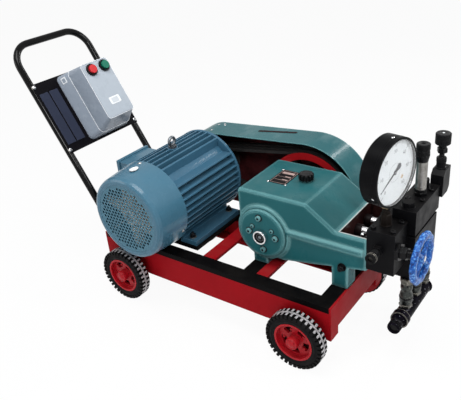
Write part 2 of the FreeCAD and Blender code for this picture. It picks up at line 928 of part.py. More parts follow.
def loft(body, sections):
    """Adds a straight-sided loft through rounded rectangles: height, low corner, high corner and radius."""
    sketches = []
    for height, low, high, radius in sections:
        sketches.append(new_sketch(body, "YZ_Plane", height))
        rounded_rectangle(sketches[-1], low, high, radius)
    item = body.newObject("PartDesign::AdditiveLoft", "Loft")
    item.Profile = sketches[0]
    item.Sections = sketches[1:]
    item.Ruled = True
    DOC.recompute()
    return item


def starter_box():
    """A moulded box: a base that widens to the panel and a cover that narrows towards its face."""
    body = new_body("StarterBox")
    joint_low = ("base_slope_side", "base_slope_end")
    joint_high = ("box_width - base_slope_side", "box_length - base_slope_end")
    loft(body, [
        ("0", ("0", "0"), ("box_width", "box_length"), "box_corner"),
        ("box_base_height", joint_low, joint_high, "box_corner"),
    ])
    cover = loft(body, [
        ("box_base_height", joint_low, joint_high, "box_corner"),
        ("box_base_height + box_cover_height",
         ("base_slope_side + cover_slope_near", "base_slope_end + cover_slope_low"),
         ("box_width - base_slope_side - cover_slope_far", "box_length - base_slope_end - cover_slope_high"),
         "box_corner / 2"),
    ])
    faces = cover.Shape.Faces
    front = max(range(len(faces)), key=lambda i: faces[i].CenterOfMass.x)
    edge = body.newObject("PartDesign::Fillet", "FaceEdge")
    edge.Base = (cover, [f"Face{front + 1}"])
    bind(edge, Radius="box_edge")
    DOC.recompute()
    wells = new_sketch(body, "YZ_Plane", "box_base_height + box_cover_height")
    for i in range(2):
        ring(wells, f"button_side_first + {i} * button_spacing - box_side_place", "button_level - box_start",
             "button_stem_radius + free_gap")
    pocket(body, wells, "button_travel + travel_gap + box_wall")
    leaning(body, ("panel_face", "box_side_place", "box_start"))
    keep(body, "starter_box")

    for i, label in enumerate(("stop_button", "start_button")):
        side = f"button_side_first + {i} * button_spacing"
        cap = leaning_rod(("box_face + button_travel + free_gap", side, "button_level"), "button_radius",
                          "button_height")
        stem = leaning_rod(("box_face - box_wall", side, "button_level"), "button_stem_radius",
                           "button_travel + free_gap + box_wall")
        keep(join(cap, stem), label)


# Motor on its base


def motor_frame():
    """A finned cast frame: parallel side fins, upright top fins, both trimmed to one circle."""
    near, axis_x, axis_z = "frame_near", "motor_x", "motor_axis"
    barrel = rod((axis_x, near, axis_z), "y", "barrel_radius", "frame_length")
    plates = []
    for i in range(int(size("fin_count"))):
        step = f"({i} - (fin_count - 1) / 2) * fin_spacing"
        plates.append(box((f"{axis_x} - fin_radius", near, f"{axis_z} + {step} - fin_thickness / 2"),
                          "2 * fin_radius", "frame_length", "fin_thickness"))
    for i in range(int(size("top_fin_count"))):
        step = f"({i} - (top_fin_count - 1) / 2) * fin_spacing"
        plates.append(box((f"{axis_x} + {step} - fin_thickness / 2", near, axis_z),
                          "fin_thickness", "frame_length", "fin_radius"))
    envelope = rod((axis_x, near, axis_z), "y", "fin_radius", "frame_length")
    finned = common(join(barrel, *plates), envelope)
    feet = []
    for side in (-1, 1):
        middle = f"{axis_x} + {side} * foot_spread"
        feet.append(box((f"{middle} - foot_width / 2", f"{near} + foot_start", "deck_top + motor_base_height"),
                        "foot_width", "foot_length", "foot_thickness"))
        inner = f"{axis_x} + {side} * (foot_spread - foot_width / 2)"
        lap = "(foot_web - foot_web_lap)" if side > 0 else "foot_web_lap"
        feet.append(box((f"{inner} - {lap}", f"{near} + foot_start", "deck_top + motor_base_height"),
                        "foot_web", "foot_length", "foot_web_height"))
    taper = "(cowl_radius - cowl_front_radius) * fan_shield / (cowl_length - cowl_corner)"
    seat = rod((axis_x, f"{near} - fan_shield", axis_z), "y", f"cowl_radius - cowl_wall - free_gap - {taper}",
               "fan_shield")
    lift = rod((axis_x, f"{near} + eye_place", axis_z), "z", "eye_boss_radius", "fin_radius")
    tools = [rod((axis_x, f"{near} - fan_shield", axis_z), "y", "motor_shaft_radius + running_gap",
                 "frame_length + fan_shield")]
    for side in (-1, 1):
        for end in (-1, 1):
            tools.append(rod((f"{axis_x} + {side} * foot_spread",
                              f"{near} + foot_start + foot_length / 2 + {end} * foot_bolt_spacing / 2",
                              "deck_top + motor_base_height"), "z", "foot_bolt_radius", "foot_thickness"))
    return join(finned, *feet, seat, lift), tools


def terminal_housing():
    """The cable box on the far side of the frame, with a wider lid on its outer face."""
    low = "motor_axis + terminal_box_top - terminal_box_height"
    start = "frame_near + terminal_box_start"
    out = "motor_x - terminal_box_out"
    shell = box((out, start, low), "terminal_box_depth", "terminal_box_length", "terminal_box_height")
    lid = box((f"{out} - terminal_lid", f"{start} - terminal_lip", f"{low} - terminal_lip"), "terminal_lid",
              "terminal_box_length + 2 * terminal_lip", "terminal_box_height + 2 * terminal_lip")
    return join(shell, lid)


def motor():
    whole, bores = motor_frame()
    terminal = terminal_housing()
    keep(terminal, "terminal_box")
    keep(cut(whole, terminal, *bores), "motor_frame")

    end = turned([
        ("motor_shaft_radius + running_gap", "0"), ("shield_radius", "0"), ("shield_radius", "shield_rim"),
        ("shield_radius - shield_slope", "shield_face"),
        ("shield_boss_radius + shield_boss_slope", "shield_face"),
        ("shield_boss_radius", "shield_length"), ("motor_shaft_radius + running_gap", "shield_length"),
    ], ("motor_x", "frame_far", "motor_axis"), "y")
    keep(end, "drive_end_shield")

    cowl = turned([
        ("grille_radius", "0"), ("cowl_front_radius - cowl_face_in", "0"),
        ("cowl_front_radius - cowl_knee_in", "cowl_knee_back"),
        ("cowl_front_radius", "cowl_corner"), ("cowl_radius", "cowl_length"),
        ("cowl_radius - cowl_wall", "cowl_length"), ("cowl_front_radius - cowl_wall", "cowl_corner"),
        ("grille_radius + grille_lip + free_gap", "cowl_wall"), ("grille_radius", "cowl_wall"),
    ], ("motor_x", "motor_near", "motor_axis"), "y")
    keep(cowl, "fan_cowl")
    cowl_grille()

    base = box(("motor_x - motor_base_length / 2", "motor_base_near", "deck_top"),
               "motor_base_length", "motor_base_width", "motor_base_height")
    keep(base, "motor_base")

    collar = rod(("motor_x", "frame_near + eye_place", "motor_axis + fin_radius"), "z",
                 "eye_collar_radius", "eye_collar_height")
    eye = DOC.addObject("Part::Torus", "Eye")
    bind(eye, Radius1="eye_radius", Radius2="eye_wire")
    place(eye, ("motor_x", "frame_near + eye_place",
                "motor_axis + fin_radius + eye_collar_height + eye_radius + eye_wire - eye_sink"), TURNS["x"])
    keep(join(collar, eye), "lifting_eye")


SIDES = 6


def cowl_grille():
    """A disc behind the cowl's opening, pierced by rings of six-sided holes."""
    body = new_body("Grille")
    disc = new_sketch(body, "XY_Plane")
    ring(disc, "0", "0", "grille_radius + grille_lip")
    pad(body, disc, "grille_thickness")
    for i in range(1, int(size("grille_rings")) + 1):
        holes = new_sketch(body, "XY_Plane", "grille_thickness")
        stagger = 180 / (SIDES * i) if i % 2 else 0
        corners = [(f"{i} * grille_pitch * cos({stagger}) + grille_hole * cos({angle})",
                    f"{i} * grille_pitch * sin({stagger}) + grille_hole * sin({angle})")
                   for angle in range(0, 360, 360 // SIDES)]
        outline(holes, corners)
        polar(body, pocket(body, holes, "grille_thickness"), holes, str(SIDES * i))
    place(body, ("motor_x", "motor_near + cowl_wall", "motor_axis"), TURNS["y"])
    keep(body, "cowl_grille")


def motor_rotor():
    """Motor shaft with a broad-bladed fan on its near end."""
    spot = ("motor_x", "fan_start", "motor_axis")
    shaft = rod(spot, "y", "motor_shaft_radius", "pulley_near + pulley_width - fan_start")
    hub = rod(spot, "y", "fan_hub_radius", "fan_width")
    blades = []
    count = int(size("fan_blade_count"))
    pitch = Rotation(Vector(1, 0, 0), SIZES["fan_pitch"])
    for i in range(count):
        blade = DOC.addObject("Part::Box", "Blade")
        bind(blade, Length="fan_radius", Width="fan_chord", Height="fan_blade")
        turn = Rotation(Vector(0, 1, 0), 360.0 * i / count).multiply(pitch)
        back = turn.multVec(Vector(0, -size("fan_chord") / 2, -size("fan_blade") / 2))
        blades.append(place(blade, (f"motor_x + {back.x}", f"fan_start + fan_width / 2 + {back.y}",
                                    f"motor_axis + {back.z}"), turn))
    keep(join(shaft, hub, *blades), "motor_rotor")


# Belt drive and its guard


def groove_points(radius, first):
    """Points of the grooved face of a pulley, from its near to its far side."""
    points = []
    for i in range(int(size("groove_count"))):
        middle = f"({first} + {i} * groove_pitch)"
        points += [
            (radius, f"{middle} - groove_top / 2"),
            (f"{radius} - groove_depth", f"{middle} - groove_bottom / 2"),
            (f"{radius} - groove_depth", f"{middle} + groove_bottom / 2"),
            (radius, f"{middle} + groove_top / 2"),
        ]
    return points


FIRST_GROOVE = "(pulley_edge + groove_pitch / 2)"


def pulleys():
    """The spoked driven pulley with its crankshaft, and the motor's small pulley."""
    rim = "big_pulley_radius"
    inner = "big_pulley_radius - groove_depth - big_rim_wall"
    spot = ("crank_x", "pulley_near", "crank_height")
    ring_part = turned([(inner, "0"), (rim, "0"), *groove_points(rim, FIRST_GROOVE), (rim, "pulley_width"),
                        (inner, "pulley_width")], spot, "y")
    middle = "pulley_near + pulley_width / 2 - big_spoke_depth / 2"
    hub = rod(("crank_x", "pulley_near", "crank_height"), "y", "big_hub_radius", "pulley_width")
    spokes = []
    count = int(size("big_spoke_count"))
    for i in range(count):
        spoke = DOC.addObject("Part::Box", "Spoke")
        bind(spoke, Length=f"{inner} + big_spoke_sink", Width="big_spoke_depth", Height="big_spoke_width")
        turn = Rotation(Vector(0, 1, 0), 360.0 * i / count + 90.0)
        lift = turn.multVec(Vector(0, 0, -size("big_spoke_width") / 2))
        place(spoke, (f"crank_x + {lift.x}", middle, f"crank_height + {lift.z}"), turn)
        spokes.append(spoke)
    shaft = rod(("crank_x", "case_far - crank_depth", "crank_height"), "y", "crank_radius",
                "pulley_near + pulley_width + crank_end - case_far + crank_depth")
    keep(join(ring_part, hub, *spokes, shaft), "pump_pulley")

    small = turned([
        ("motor_shaft_radius", "0"), ("small_pulley_radius", "0"),
        *groove_points("small_pulley_radius", FIRST_GROOVE),
        ("small_pulley_radius", "pulley_width"), ("motor_shaft_radius", "pulley_width"),
    ], ("motor_x", "pulley_near", "motor_axis"), "y")
    keep(small, "motor_pulley")


def tangent_loop(big, small):
    """A closed wire round both pulley axes in the XZ plane, with its first point and direction."""
    a = Vector(size("crank_x"), 0, size("crank_height"))
    b = Vector(size("motor_x"), 0, size("motor_axis"))
    span = b - a
    along = math.atan2(span.z, span.x)
    lean = math.acos((big - small) / span.Length)

    def spot(centre, radius, angle):
        return centre + Vector(math.cos(angle), 0, math.sin(angle)) * radius

    upper, lower = along - lean, along + lean
    p1, p2 = spot(a, big, upper), spot(b, small, upper)
    p3, p4 = spot(b, small, lower), spot(a, big, lower)
    far_a = spot(a, big, along + math.pi)
    far_b = spot(b, small, along)
    curves = [Part.LineSegment(p1, p2), Part.Arc(p2, far_b, p3),
              Part.LineSegment(p3, p4), Part.Arc(p4, far_a, p1)]
    return Part.Wire([curve.toShape() for curve in curves]), p1, (p2 - p1).normalize()


def belts():
    """Fixed belt loops, each clear of its grooves by the side gap."""
    big = size("big_pulley_radius - belt_drop - belt_height")
    small = size("small_pulley_radius - belt_drop - belt_height")
    slope = size("(groove_top - groove_bottom) / (2 * groove_depth)")
    top_half = size("groove_top / 2 - belt_side_gap") - slope * size("belt_drop")
    low_half = top_half - slope * size("belt_height")
    loops = []
    for i in range(int(size("groove_count"))):
        wire, start, run = tangent_loop(big, small)
        out = Vector(-run.z, 0, run.x)
        if out.dot(start - Vector(size("crank_x"), 0, size("crank_height"))) < 0:
            out = out * -1
        side = Vector(0, 1, 0)
        tall = size("belt_height")
        corners = [start - side * low_half, start + side * low_half,
                   start + side * top_half + out * tall, start - side * top_half + out * tall]
        section = Part.makePolygon(corners + corners[:1])
        belt = DOC.addObject("Part::Feature", "Belt")
        belt.Shape = wire.makePipeShell([section], True, True)
        belt.Placement = Placement(Vector(0, size(f"pulley_near + {FIRST_GROOVE} + {i} * groove_pitch"), 0),
                                   Rotation())
        loops.append(belt)
    keep(join(*loops), "drive_belts")


def belt_guard():
    """A bent sheet band round both pulleys with a flat outer plate, open to the near side and below."""
    wall = size("guard_wall")
    a = Vector(size("crank_x"), 0, size("crank_height"))
    b = Vector(size("motor_x"), 0, size("motor_axis"))
    span = b - a
    along = math.atan2(span.z, span.x)

    def face(gap, bottom):
        big = size("guard_big_radius") - gap
        small = size("guard_small_radius") - gap
        tilt = along - math.acos((big - small) / span.Length)
        ray = Vector(math.cos(tilt), 0, math.sin(tilt))
        p1, p2 = a + ray * big, b + ray * small
        right, left = a + Vector(big, 0, 0), b - Vector(small, 0, 0)
        right_mid = a + Vector(math.cos(tilt / 2), 0, math.sin(tilt / 2)) * big
        turn = (tilt + math.pi) / 2
        left_mid = b + Vector(math.cos(turn), 0, math.sin(turn)) * small
        low_right, low_left = Vector(right.x, 0, bottom), Vector(left.x, 0, bottom)
        curves = [
            Part.LineSegment(low_right, right), Part.Arc(right, right_mid, p1), Part.LineSegment(p1, p2),
            Part.Arc(p2, left_mid, left), Part.LineSegment(left, low_left), Part.LineSegment(low_left, low_right),
        ]
        return Part.Face(Part.Wire([curve.toShape() for curve in curves]))

    depth = size("guard_width")
    foot_top = size("deck_top + guard_foot_height")
    outer = face(0, foot_top).extrude(Vector(0, depth, 0))
    inner = face(wall, foot_top - wall).extrude(Vector(0, depth - wall, 0))
    plate = face(0, size("guard_plate_bottom")).extrude(Vector(0, wall, 0))
    plate.translate(Vector(0, depth - wall, 0))
    guard = DOC.addObject("Part::Feature", "Guard")
    guard.Shape = outer.cut(inner).fuse(plate).removeSplitter()
    guard.Placement = Placement(Vector(0, size("guard_near"), 0), Rotation())
    plate_near = "guard_near + guard_width - guard_wall"
    feet = [
        box((start, near, "deck_top"), "guard_foot_width", f"{plate_near} - ({near})", "guard_foot_height")
        for start, near in (
            ("crank_x + guard_big_radius - guard_foot_width", "cart_mid_y + rail_inner"),
            ("motor_x - guard_small_radius", "motor_base_near + motor_base_width"),
        )
    ]
    keep(join(guard, *feet), "belt_guard")


# Plunger pump


def crankcase():
    """A cast case: flat top, sloping front, open plunger window, feet, side rib and bearing arch."""
    body = new_body("Case")
    sketch = new_sketch(body, "XZ_Plane")
    outline(sketch, [
        ("-case_back", "-case_belly + case_belly_rise"), ("-case_back", "case_top"), ("case_bend", "case_top"),
        ("case_bend + slope_reach", "case_top - slope_drop"), ("case_front", "case_top - slope_drop"),
        ("case_front", "case_front_bottom"), ("case_belly_front", "-case_belly"),
        ("-case_back + case_belly_back", "-case_belly"),
    ])
    shell = pad(body, sketch, "case_width", reverse=True)
    front = size("case_front") - 0.01
    bends = round_edges(body, shell, "case_corner", lambda span: span.YLength > 1 and span.XMax < front)
    round_edges(body, bends, "case_edge", lambda span: span.YLength < 1 and span.XMin < front)
    DOC.recompute()
    window = new_sketch(body, "XY_Plane", "case_top - slope_drop")
    back = "case_bend + slope_reach + window_back"
    far = "case_width - window_wall"
    outline(window, [(back, "window_wall"), ("case_front", "window_wall"), ("case_front", far), (back, far)])
    pocket(body, window, "window_depth")
    place(body, ("crank_x", "case_near", "crank_height"))

    feet = [
        box((f"crank_x + {start}", y, "deck_top"), "pump_foot_length", "pump_foot_width",
            f"crank_height - deck_top - {rise}")
        for start, rise in (
            ("rear_foot_place", "(case_belly - foot_root)"),
            ("front_foot_place", "front_foot_drop"),
        )
        for y in ("case_near", "case_far - pump_foot_width")
    ]
    rib = extruded([
        ("case_lap", "0"), ("-rib_depth", "rib_slope"), ("-rib_depth", "rib_height - rib_slope"),
        ("case_lap", "rib_height"),
    ], ("crank_x + arch_radius - rib_lap", "case_near", "crank_height + rib_level"),
        "case_front - arch_radius", "YZ_Plane")
    arch = rod(("crank_x", "case_near - arch_height", "crank_height"), "y", "arch_radius",
               "arch_height + arch_lap")
    bore = rod(("crank_x", "case_far - crank_bore_depth", "crank_height"), "y", "crank_radius + running_gap",
               "crank_bore_depth")
    keep(cut(join(body, *feet, rib, arch), bore), "crankcase")
    spot = ("crank_x", "case_near - arch_height - cover_height", "crank_height")
    cover = turned([
        ("0", "0"), ("cover_radius - cover_slope", "0"), ("cover_radius", "cover_edge"),
        ("cover_radius", "cover_height"), ("0", "cover_height"),
    ], spot, "y")
    keep(cover, "bearing_cover")
    glass = turned([
        ("0", "glass_ring_floor"), ("glass_ring_radius - glass_ring_wall", "glass_ring_floor"),
        ("glass_ring_radius - glass_ring_wall", "0"), ("glass_ring_radius - glass_ring_edge", "0"),
        ("glass_ring_radius", "glass_ring_edge"), ("glass_ring_radius", "glass_ring_height"),
        ("0", "glass_ring_height"),
    ], ("crank_x", "case_near - arch_height - cover_height - glass_ring_height",
        "crank_height - glass_ring_drop"), "y")
    keep(glass, "sight_glass")

    top = "crank_height + case_top"
    spot = ("crank_x + cap_place", "cart_mid_y + cap_side", top)
    cap = turned([
        ("0", "0"), ("cap_neck_radius", "0"), ("cap_neck_radius", "cap_neck_height"),
        ("cap_radius", "cap_neck_height"), ("cap_radius", "cap_neck_height + cap_height - cap_edge"),
        ("cap_radius - cap_edge", "cap_neck_height + cap_height"), ("0", "cap_neck_height + cap_height"),
    ], spot, "z")
    keep(cap, "oil_filler_cap")


def plungers():
    """Bright plungers and their gland nuts in the open window."""
    start = "crank_x + case_bend + slope_reach + window_back"
    pieces = []
    for i in range(int(size("plunger_count"))):
        y = f"(case_near + case_far) / 2 + ({i} - (plunger_count - 1) / 2) * plunger_spacing"
        gland = rod(("case_front_x - gland_length", y, "crank_height + plunger_height"), "x",
                    "gland_radius", "gland_length")
        plunger = rod((start, y, "crank_height + plunger_height"), "x", "plunger_radius",
                      f"case_front_x - gland_length - ({start})")
        pieces += [gland, plunger]
    keep(join(*pieces), "plungers")


def test_outlet():
    """The high-pressure outlet on the near face: a fixed nut, a spout and a cap nut, with its bore."""
    x, z = "case_front_x + outlet_place", "crank_height + outlet_level"
    tip = "case_near - outlet_length"
    nut = hexagon((x, "case_near - outlet_nut", z), "y", "outlet_radius", "outlet_nut")
    spout = rod((x, tip, z), "y", "outlet_spout_radius", "outlet_length")
    cap = hexagon((x, tip, z), "y", "outlet_cap_radius", "outlet_cap")
    bore = rod((x, tip, z), "y", "outlet_bore", "outlet_length + outlet_depth")
    return (nut, spout, cap), bore


def pump_head():
    """The head block with its test outlet, the valve block on it and the lower block in front."""
    block = box(("case_front_x", "case_near", "crank_height + block_bottom"), "block_depth", "case_width",
                "block_height")
    outlet, bore = test_outlet()
    keep(cut(join(block, *outlet), bore), "head_block")
    valve = extruded([
        ("-valve_block_back", "0"), ("0", "0"), ("0", "-valve_block_lip"),
        ("valve_block_out", "-valve_block_lip"),
        ("valve_block_out", "valve_block_top"), ("-valve_block_back", "valve_block_top"),
    ], ("block_front_x", "cart_mid_y + valve_block_near", "block_top"), "valve_block_far - valve_block_near")
    x = "block_front_x - plug_back"
    plugs = [
        hexagon((x, f"cart_mid_y + {side}", "valve_top"), "z", radius, height)
        for side, radius, height in (("plug_place", "plug_radius", "plug_height"),
                                     ("vent_place", "vent_radius", "vent_height"))
    ]
    keep(join(valve, *plugs), "valve_block")
    lower = extruded([
        ("-lower_block_back", "lower_block_bottom"), ("lower_block_out", "lower_block_bottom"),
        ("lower_block_out", "lower_block_top"), ("0", "lower_block_top"), ("0", "block_bottom"),
        ("-lower_block_back", "block_bottom"),
    ], ("block_front_x", "cart_mid_y + lower_block_near", "crank_height"),
        "lower_block_far - lower_block_near")
    keep(lower, "lower_block")


def gauge():
    """Pressure gauge on its brass nipple, turned a little to the near side."""
    turn = Rotation(Vector(0, 0, 1), SIZES["gauge_turn"])
    adapter = hexagon(("gauge_x", "gauge_y", "block_top"), "z", "adapter_radius", "adapter_height")
    nipple = rod(("gauge_x", "gauge_y", "block_top"), "z", "nipple_radius", "adapter_height + nipple_height")
    keep(join(adapter, nipple), "gauge_fitting")

    def aimed(item, back):
        """Faces a piece made along z forwards, with its back a distance along the gauge's axis."""
        spot = Vector(size("gauge_x"), size("gauge_y"), size("gauge_axis"))
        ahead = turn.multVec(Vector(size(back), 0, 0))
        item.Placement = Placement(spot + ahead, turn.multiply(TURNS["x"]))
        return item

    inner = "gauge_radius - gauge_rim"
    rear = "-gauge_depth / 2"
    floor = "gauge_depth - gauge_rim_depth"
    pin = "pointer_pin_radius + running_gap"
    case = turned([
        ("0", "0"), ("gauge_radius - gauge_corner", "0"), ("gauge_radius", "gauge_corner"),
        ("gauge_radius", "gauge_depth"),
        (inner, "gauge_depth"), (inner, floor), (pin, floor), (pin, f"{floor} - pin_depth - free_gap"),
        ("0", f"{floor} - pin_depth - free_gap"),
    ])
    aimed(case, rear)
    socket = rod(("gauge_x", "gauge_y", "gauge_axis - gauge_radius"), "z", "nipple_radius",
                 "block_top + adapter_height + nipple_height - (gauge_axis - gauge_radius)")
    keep(cut(case, socket), "gauge_case")
    glass = turned([("0", "0"), (f"{inner} - free_gap", "0"), (f"{inner} - free_gap", "glass_thickness"),
                    ("0", "glass_thickness")])
    keep(aimed(glass, f"{rear} + gauge_depth - glass_thickness"), "gauge_glass")
    pointer = new_body("Pointer")
    sketch = new_sketch(pointer, "XY_Plane", "free_gap")
    outline(sketch, [
        ("-pointer_width / 2", "0"), ("0", "pointer_length"), ("pointer_width / 2", "0"),
        ("pointer_tail_width / 2", "-pointer_tail_bulge"), ("0", "-pointer_tail"),
        ("-pointer_tail_width / 2", "-pointer_tail_bulge"),
    ])
    pad(pointer, sketch, "pointer_thickness")
    DOC.recompute()
    disc = new_sketch(pointer, "XY_Plane", "free_gap")
    ring(disc, "0", "0", "pointer_hub_radius")
    pad(pointer, disc, "2 * pointer_thickness")
    stud = new_sketch(pointer, "XY_Plane", "-pin_depth")
    ring(stud, "0", "0", "pointer_pin_radius")
    pad(pointer, stud, "pin_depth + free_gap")
    DOC.recompute()
    aimed(pointer, f"{rear} + {floor}")
    rest = Rotation(Vector(0, 0, 1), SIZES["pointer_rest"])
    pointer.Placement = pointer.Placement.multiply(Placement(Vector(), rest))
    keep(pointer, "gauge_pointer")


def relief_valve():
    """A bright tube on a hexagon foot, with a tapered and slightly waisted cap."""
    x, y = "block_front_x - relief_back", "cart_mid_y + relief_side"
    foot = hexagon((x, y, "valve_top"), "z", "relief_nut_radius", "relief_nut_height")
    tube = rod((x, y, "valve_top"), "z", "relief_radius", "relief_height")
    cap = turned([
        ("0", "0"), ("relief_radius", "0"), ("relief_cap_radius", "relief_taper"),
        ("relief_cap_radius - relief_waist", "relief_waist_level"), ("relief_cap_radius", "relief_band_level"),
        ("relief_cap_radius", "relief_cap_height"), ("0", "relief_cap_height"),
    ], (x, y, "valve_top + relief_height"), "z")
    keep(join(foot, tube, cap), "relief_valve")


def stop_valve():
    """Bonnet and gland of the stop valve, its stem and its handwheel."""
    y, z = "cart_mid_y + stop_side", "crank_height + stop_level"
    bonnet = join(
        hexagon(("block_front_x", y, z), "x", "stop_flange_radius", "stop_flange_length"),
        hexagon(("block_front_x + stop_flange_length", y, z), "x", "stop_nut_radius", "stop_nut_length"),
        rod(("block_front_x", y, z), "x", "stop_bonnet_radius", "stop_bonnet_length"),
    )
    bore = rod(("block_front_x", y, z), "x", "stop_stem_radius + running_gap", "stop_bonnet_length")
    keep(cut(bonnet, bore), "stop_valve_bonnet")
    rim_x = "block_front_x + wheel_reach"
    inner = "hand_radius - hand_rim_width"
    rim = turned([
        (inner, "hand_rim_edge"), (f"{inner} + hand_rim_edge", "0"), ("hand_radius - hand_rim_edge", "0"),
        ("hand_radius", "hand_rim_edge"), ("hand_radius", "hand_rim_depth - hand_rim_edge"),
        ("hand_radius - hand_rim_edge", "hand_rim_depth"), (f"{inner} + hand_rim_edge", "hand_rim_depth"),
        (inner, "hand_rim_depth - hand_rim_edge"),
    ], (f"{rim_x} - hand_rim_depth / 2", y, z), "x")
    hub = rod((f"{rim_x} - hand_hub_length / 2", y, z), "x", "hand_hub_radius", "hand_hub_length")
    spokes = []
    count = int(size("hand_spoke_count"))
    for i in range(count):
        spoke = DOC.addObject("Part::Cylinder", "Spoke")
        bind(spoke, Radius="hand_spoke_radius", Height="hand_radius - hand_rim_width / 2")
        place(spoke, (rim_x, y, z), Rotation(Vector(1, 0, 0), 360.0 * i / count + size("hand_spoke_turn")))
        spokes.append(spoke)
    stem = rod(("block_front_x + free_gap", y, z), "x", "stop_stem_radius",
               "wheel_reach + hand_hub_length / 2 - free_gap")
    keep(join(rim, hub, *spokes, stem), "handwheel")


def needle_valve():
    """Fine adjusting valve at the far end, with its lock nut and knob."""
    x = "block_front_x + needle_out"
    start = "cart_mid_y + valve_block_far"
    low = "valve_top - needle_body_drop"
    y = f"{start} + needle_side"
    body = extruded([
        ("0", "0"), ("needle_body_depth - needle_body_corner", "0"),
        ("needle_body_depth", "needle_body_corner"),
        ("needle_body_depth", "needle_body_height"), ("needle_body_corner", "needle_body_height"),
        ("0", "needle_body_height - needle_body_corner"),
    ], (f"{x} - needle_body_width / 2", start, low), "needle_body_width", "YZ_Plane")
    top = f"{low} + needle_body_height"
    gland = rod((x, y, top), "z", "needle_gland_radius", "needle_gland_height")
    bore = rod((x, y, f"{top} - needle_bore_depth"), "z", "needle_stem_radius + running_gap",
               "needle_gland_height + needle_bore_depth")
    keep(cut(join(body, gland), bore), "adjusting_valve")
    knob_low = f"{top} + needle_gland_height + needle_travel"
    stem = rod((x, y, f"{top} - needle_stem_depth"), "z", "needle_stem_radius",
               "needle_gland_height + needle_travel + needle_stem_depth")
    lock = hexagon((x, y, f"{knob_low} - needle_lock_height"), "z", "needle_lock_radius", "needle_lock_height")
    knob = turned([
        ("0", "0"), ("knob_neck_radius", "0"), ("knob_radius", "knob_shoulder"),
        ("knob_radius", "knob_height - knob_edge"), ("knob_radius - knob_edge", "knob_height"),
        ("0", "knob_height"),
    ], (x, y, knob_low), "z")
    keep(join(stem, lock, knob), "adjusting_knob")


def suction_manifold():
    """Suction pipe under the head, its union fittings and the hose nipple."""
    x, z = "block_front_x + manifold_out", "manifold_level"
    start = "cart_mid_y + manifold_start"
    pipe = rod((x, start, z), "y", "manifold_radius", "manifold_length")
    collar = rod((x, start, z), "y", "collar_radius", "collar_length")
    hollow = rod((x, f"{start} + manifold_wall", z), "y", "manifold_radius - manifold_wall",
                 "manifold_length - 2 * manifold_wall")
    top = "crank_height + lower_block_bottom"
    drops = []
    for i in range(int(size("drop_count"))):
        y = f"cart_mid_y + drop_first + {i} * drop_spacing"
        nut_low = f"{top} - drop_neck_height - drop_nut_height"
        drops += [
            rod((x, y, f"{top} - drop_neck_height"), "z", "drop_neck_radius", "drop_neck_height"),
            hexagon((x, y, nut_low), "z", "drop_nut_radius", "drop_nut_height"),
            rod((x, y, z), "z", "drop_radius", f"{nut_low} - {z}"),
            rod((x, y, z), "z", "drop_seat_radius", "manifold_radius + drop_seat_height"),
        ]
    nipple = rod((x, f"{start} - hose_length", z), "y", "hose_radius", "hose_length")
    bore = rod((x, f"{start} - hose_length", z), "y", "hose_bore", "hose_length + 2 * manifold_wall")
    keep(cut(join(pipe, collar, *drops, nipple), hollow, bore), "suction_manifold")


def check():
    """Stops if any object failed or any sub-part is empty or broken."""
    for item in DOC.Objects:
        if "Invalid" in item.State or "Error" in item.State:
            raise RuntimeError(f"{item.Name} ({item.Label}) failed: {item.State}")
    for item in KEPT:
        if item.Shape.isNull() or not item.Shape.isValid() or not item.Shape.Solids:
            raise RuntimeError(f"{item.Label} has no valid solid")


def main():
    fill_sheet()
    trolley()
    handle()
    handle_panel()
    starter_box()
    motor()
    motor_rotor()
    pulleys()
    belts()
    belt_guard()
    crankcase()
    plungers()
    pump_head()
    gauge()
    relief_valve()
    stop_valve()
    needle_valve()
    suction_manifold()
    DOC.recompute()
    check()
    os.makedirs("parts", exist_ok=True)
    for item in KEPT:
        item.Shape.exportStep(f"parts/{item.Label}.step")
    print(len(KEPT), "sub-parts")


main()
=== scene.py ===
import math
import random

import bmesh
import bpy
from mathutils import Matrix, Vector


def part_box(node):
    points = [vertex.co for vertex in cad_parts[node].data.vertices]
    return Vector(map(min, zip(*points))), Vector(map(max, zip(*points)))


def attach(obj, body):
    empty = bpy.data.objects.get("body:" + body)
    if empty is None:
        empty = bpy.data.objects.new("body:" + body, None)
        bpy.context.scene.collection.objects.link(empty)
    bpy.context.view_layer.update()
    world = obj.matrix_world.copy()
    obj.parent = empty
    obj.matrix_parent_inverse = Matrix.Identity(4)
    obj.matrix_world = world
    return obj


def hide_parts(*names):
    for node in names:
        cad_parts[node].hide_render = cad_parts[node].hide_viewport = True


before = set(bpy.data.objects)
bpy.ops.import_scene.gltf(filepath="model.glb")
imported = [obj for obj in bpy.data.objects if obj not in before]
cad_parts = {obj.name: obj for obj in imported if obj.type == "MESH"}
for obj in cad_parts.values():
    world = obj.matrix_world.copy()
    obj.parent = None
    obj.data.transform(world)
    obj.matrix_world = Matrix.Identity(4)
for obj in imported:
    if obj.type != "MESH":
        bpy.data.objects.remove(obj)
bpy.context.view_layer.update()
MM = 0.001
UP, NEAR, FAR, AHEAD, REAR = (0, 0, 1), (0, -1, 0), (0, 1, 0), (1, 0, 0), (-1, 0, 0)

# Places of the frame, in millimetres

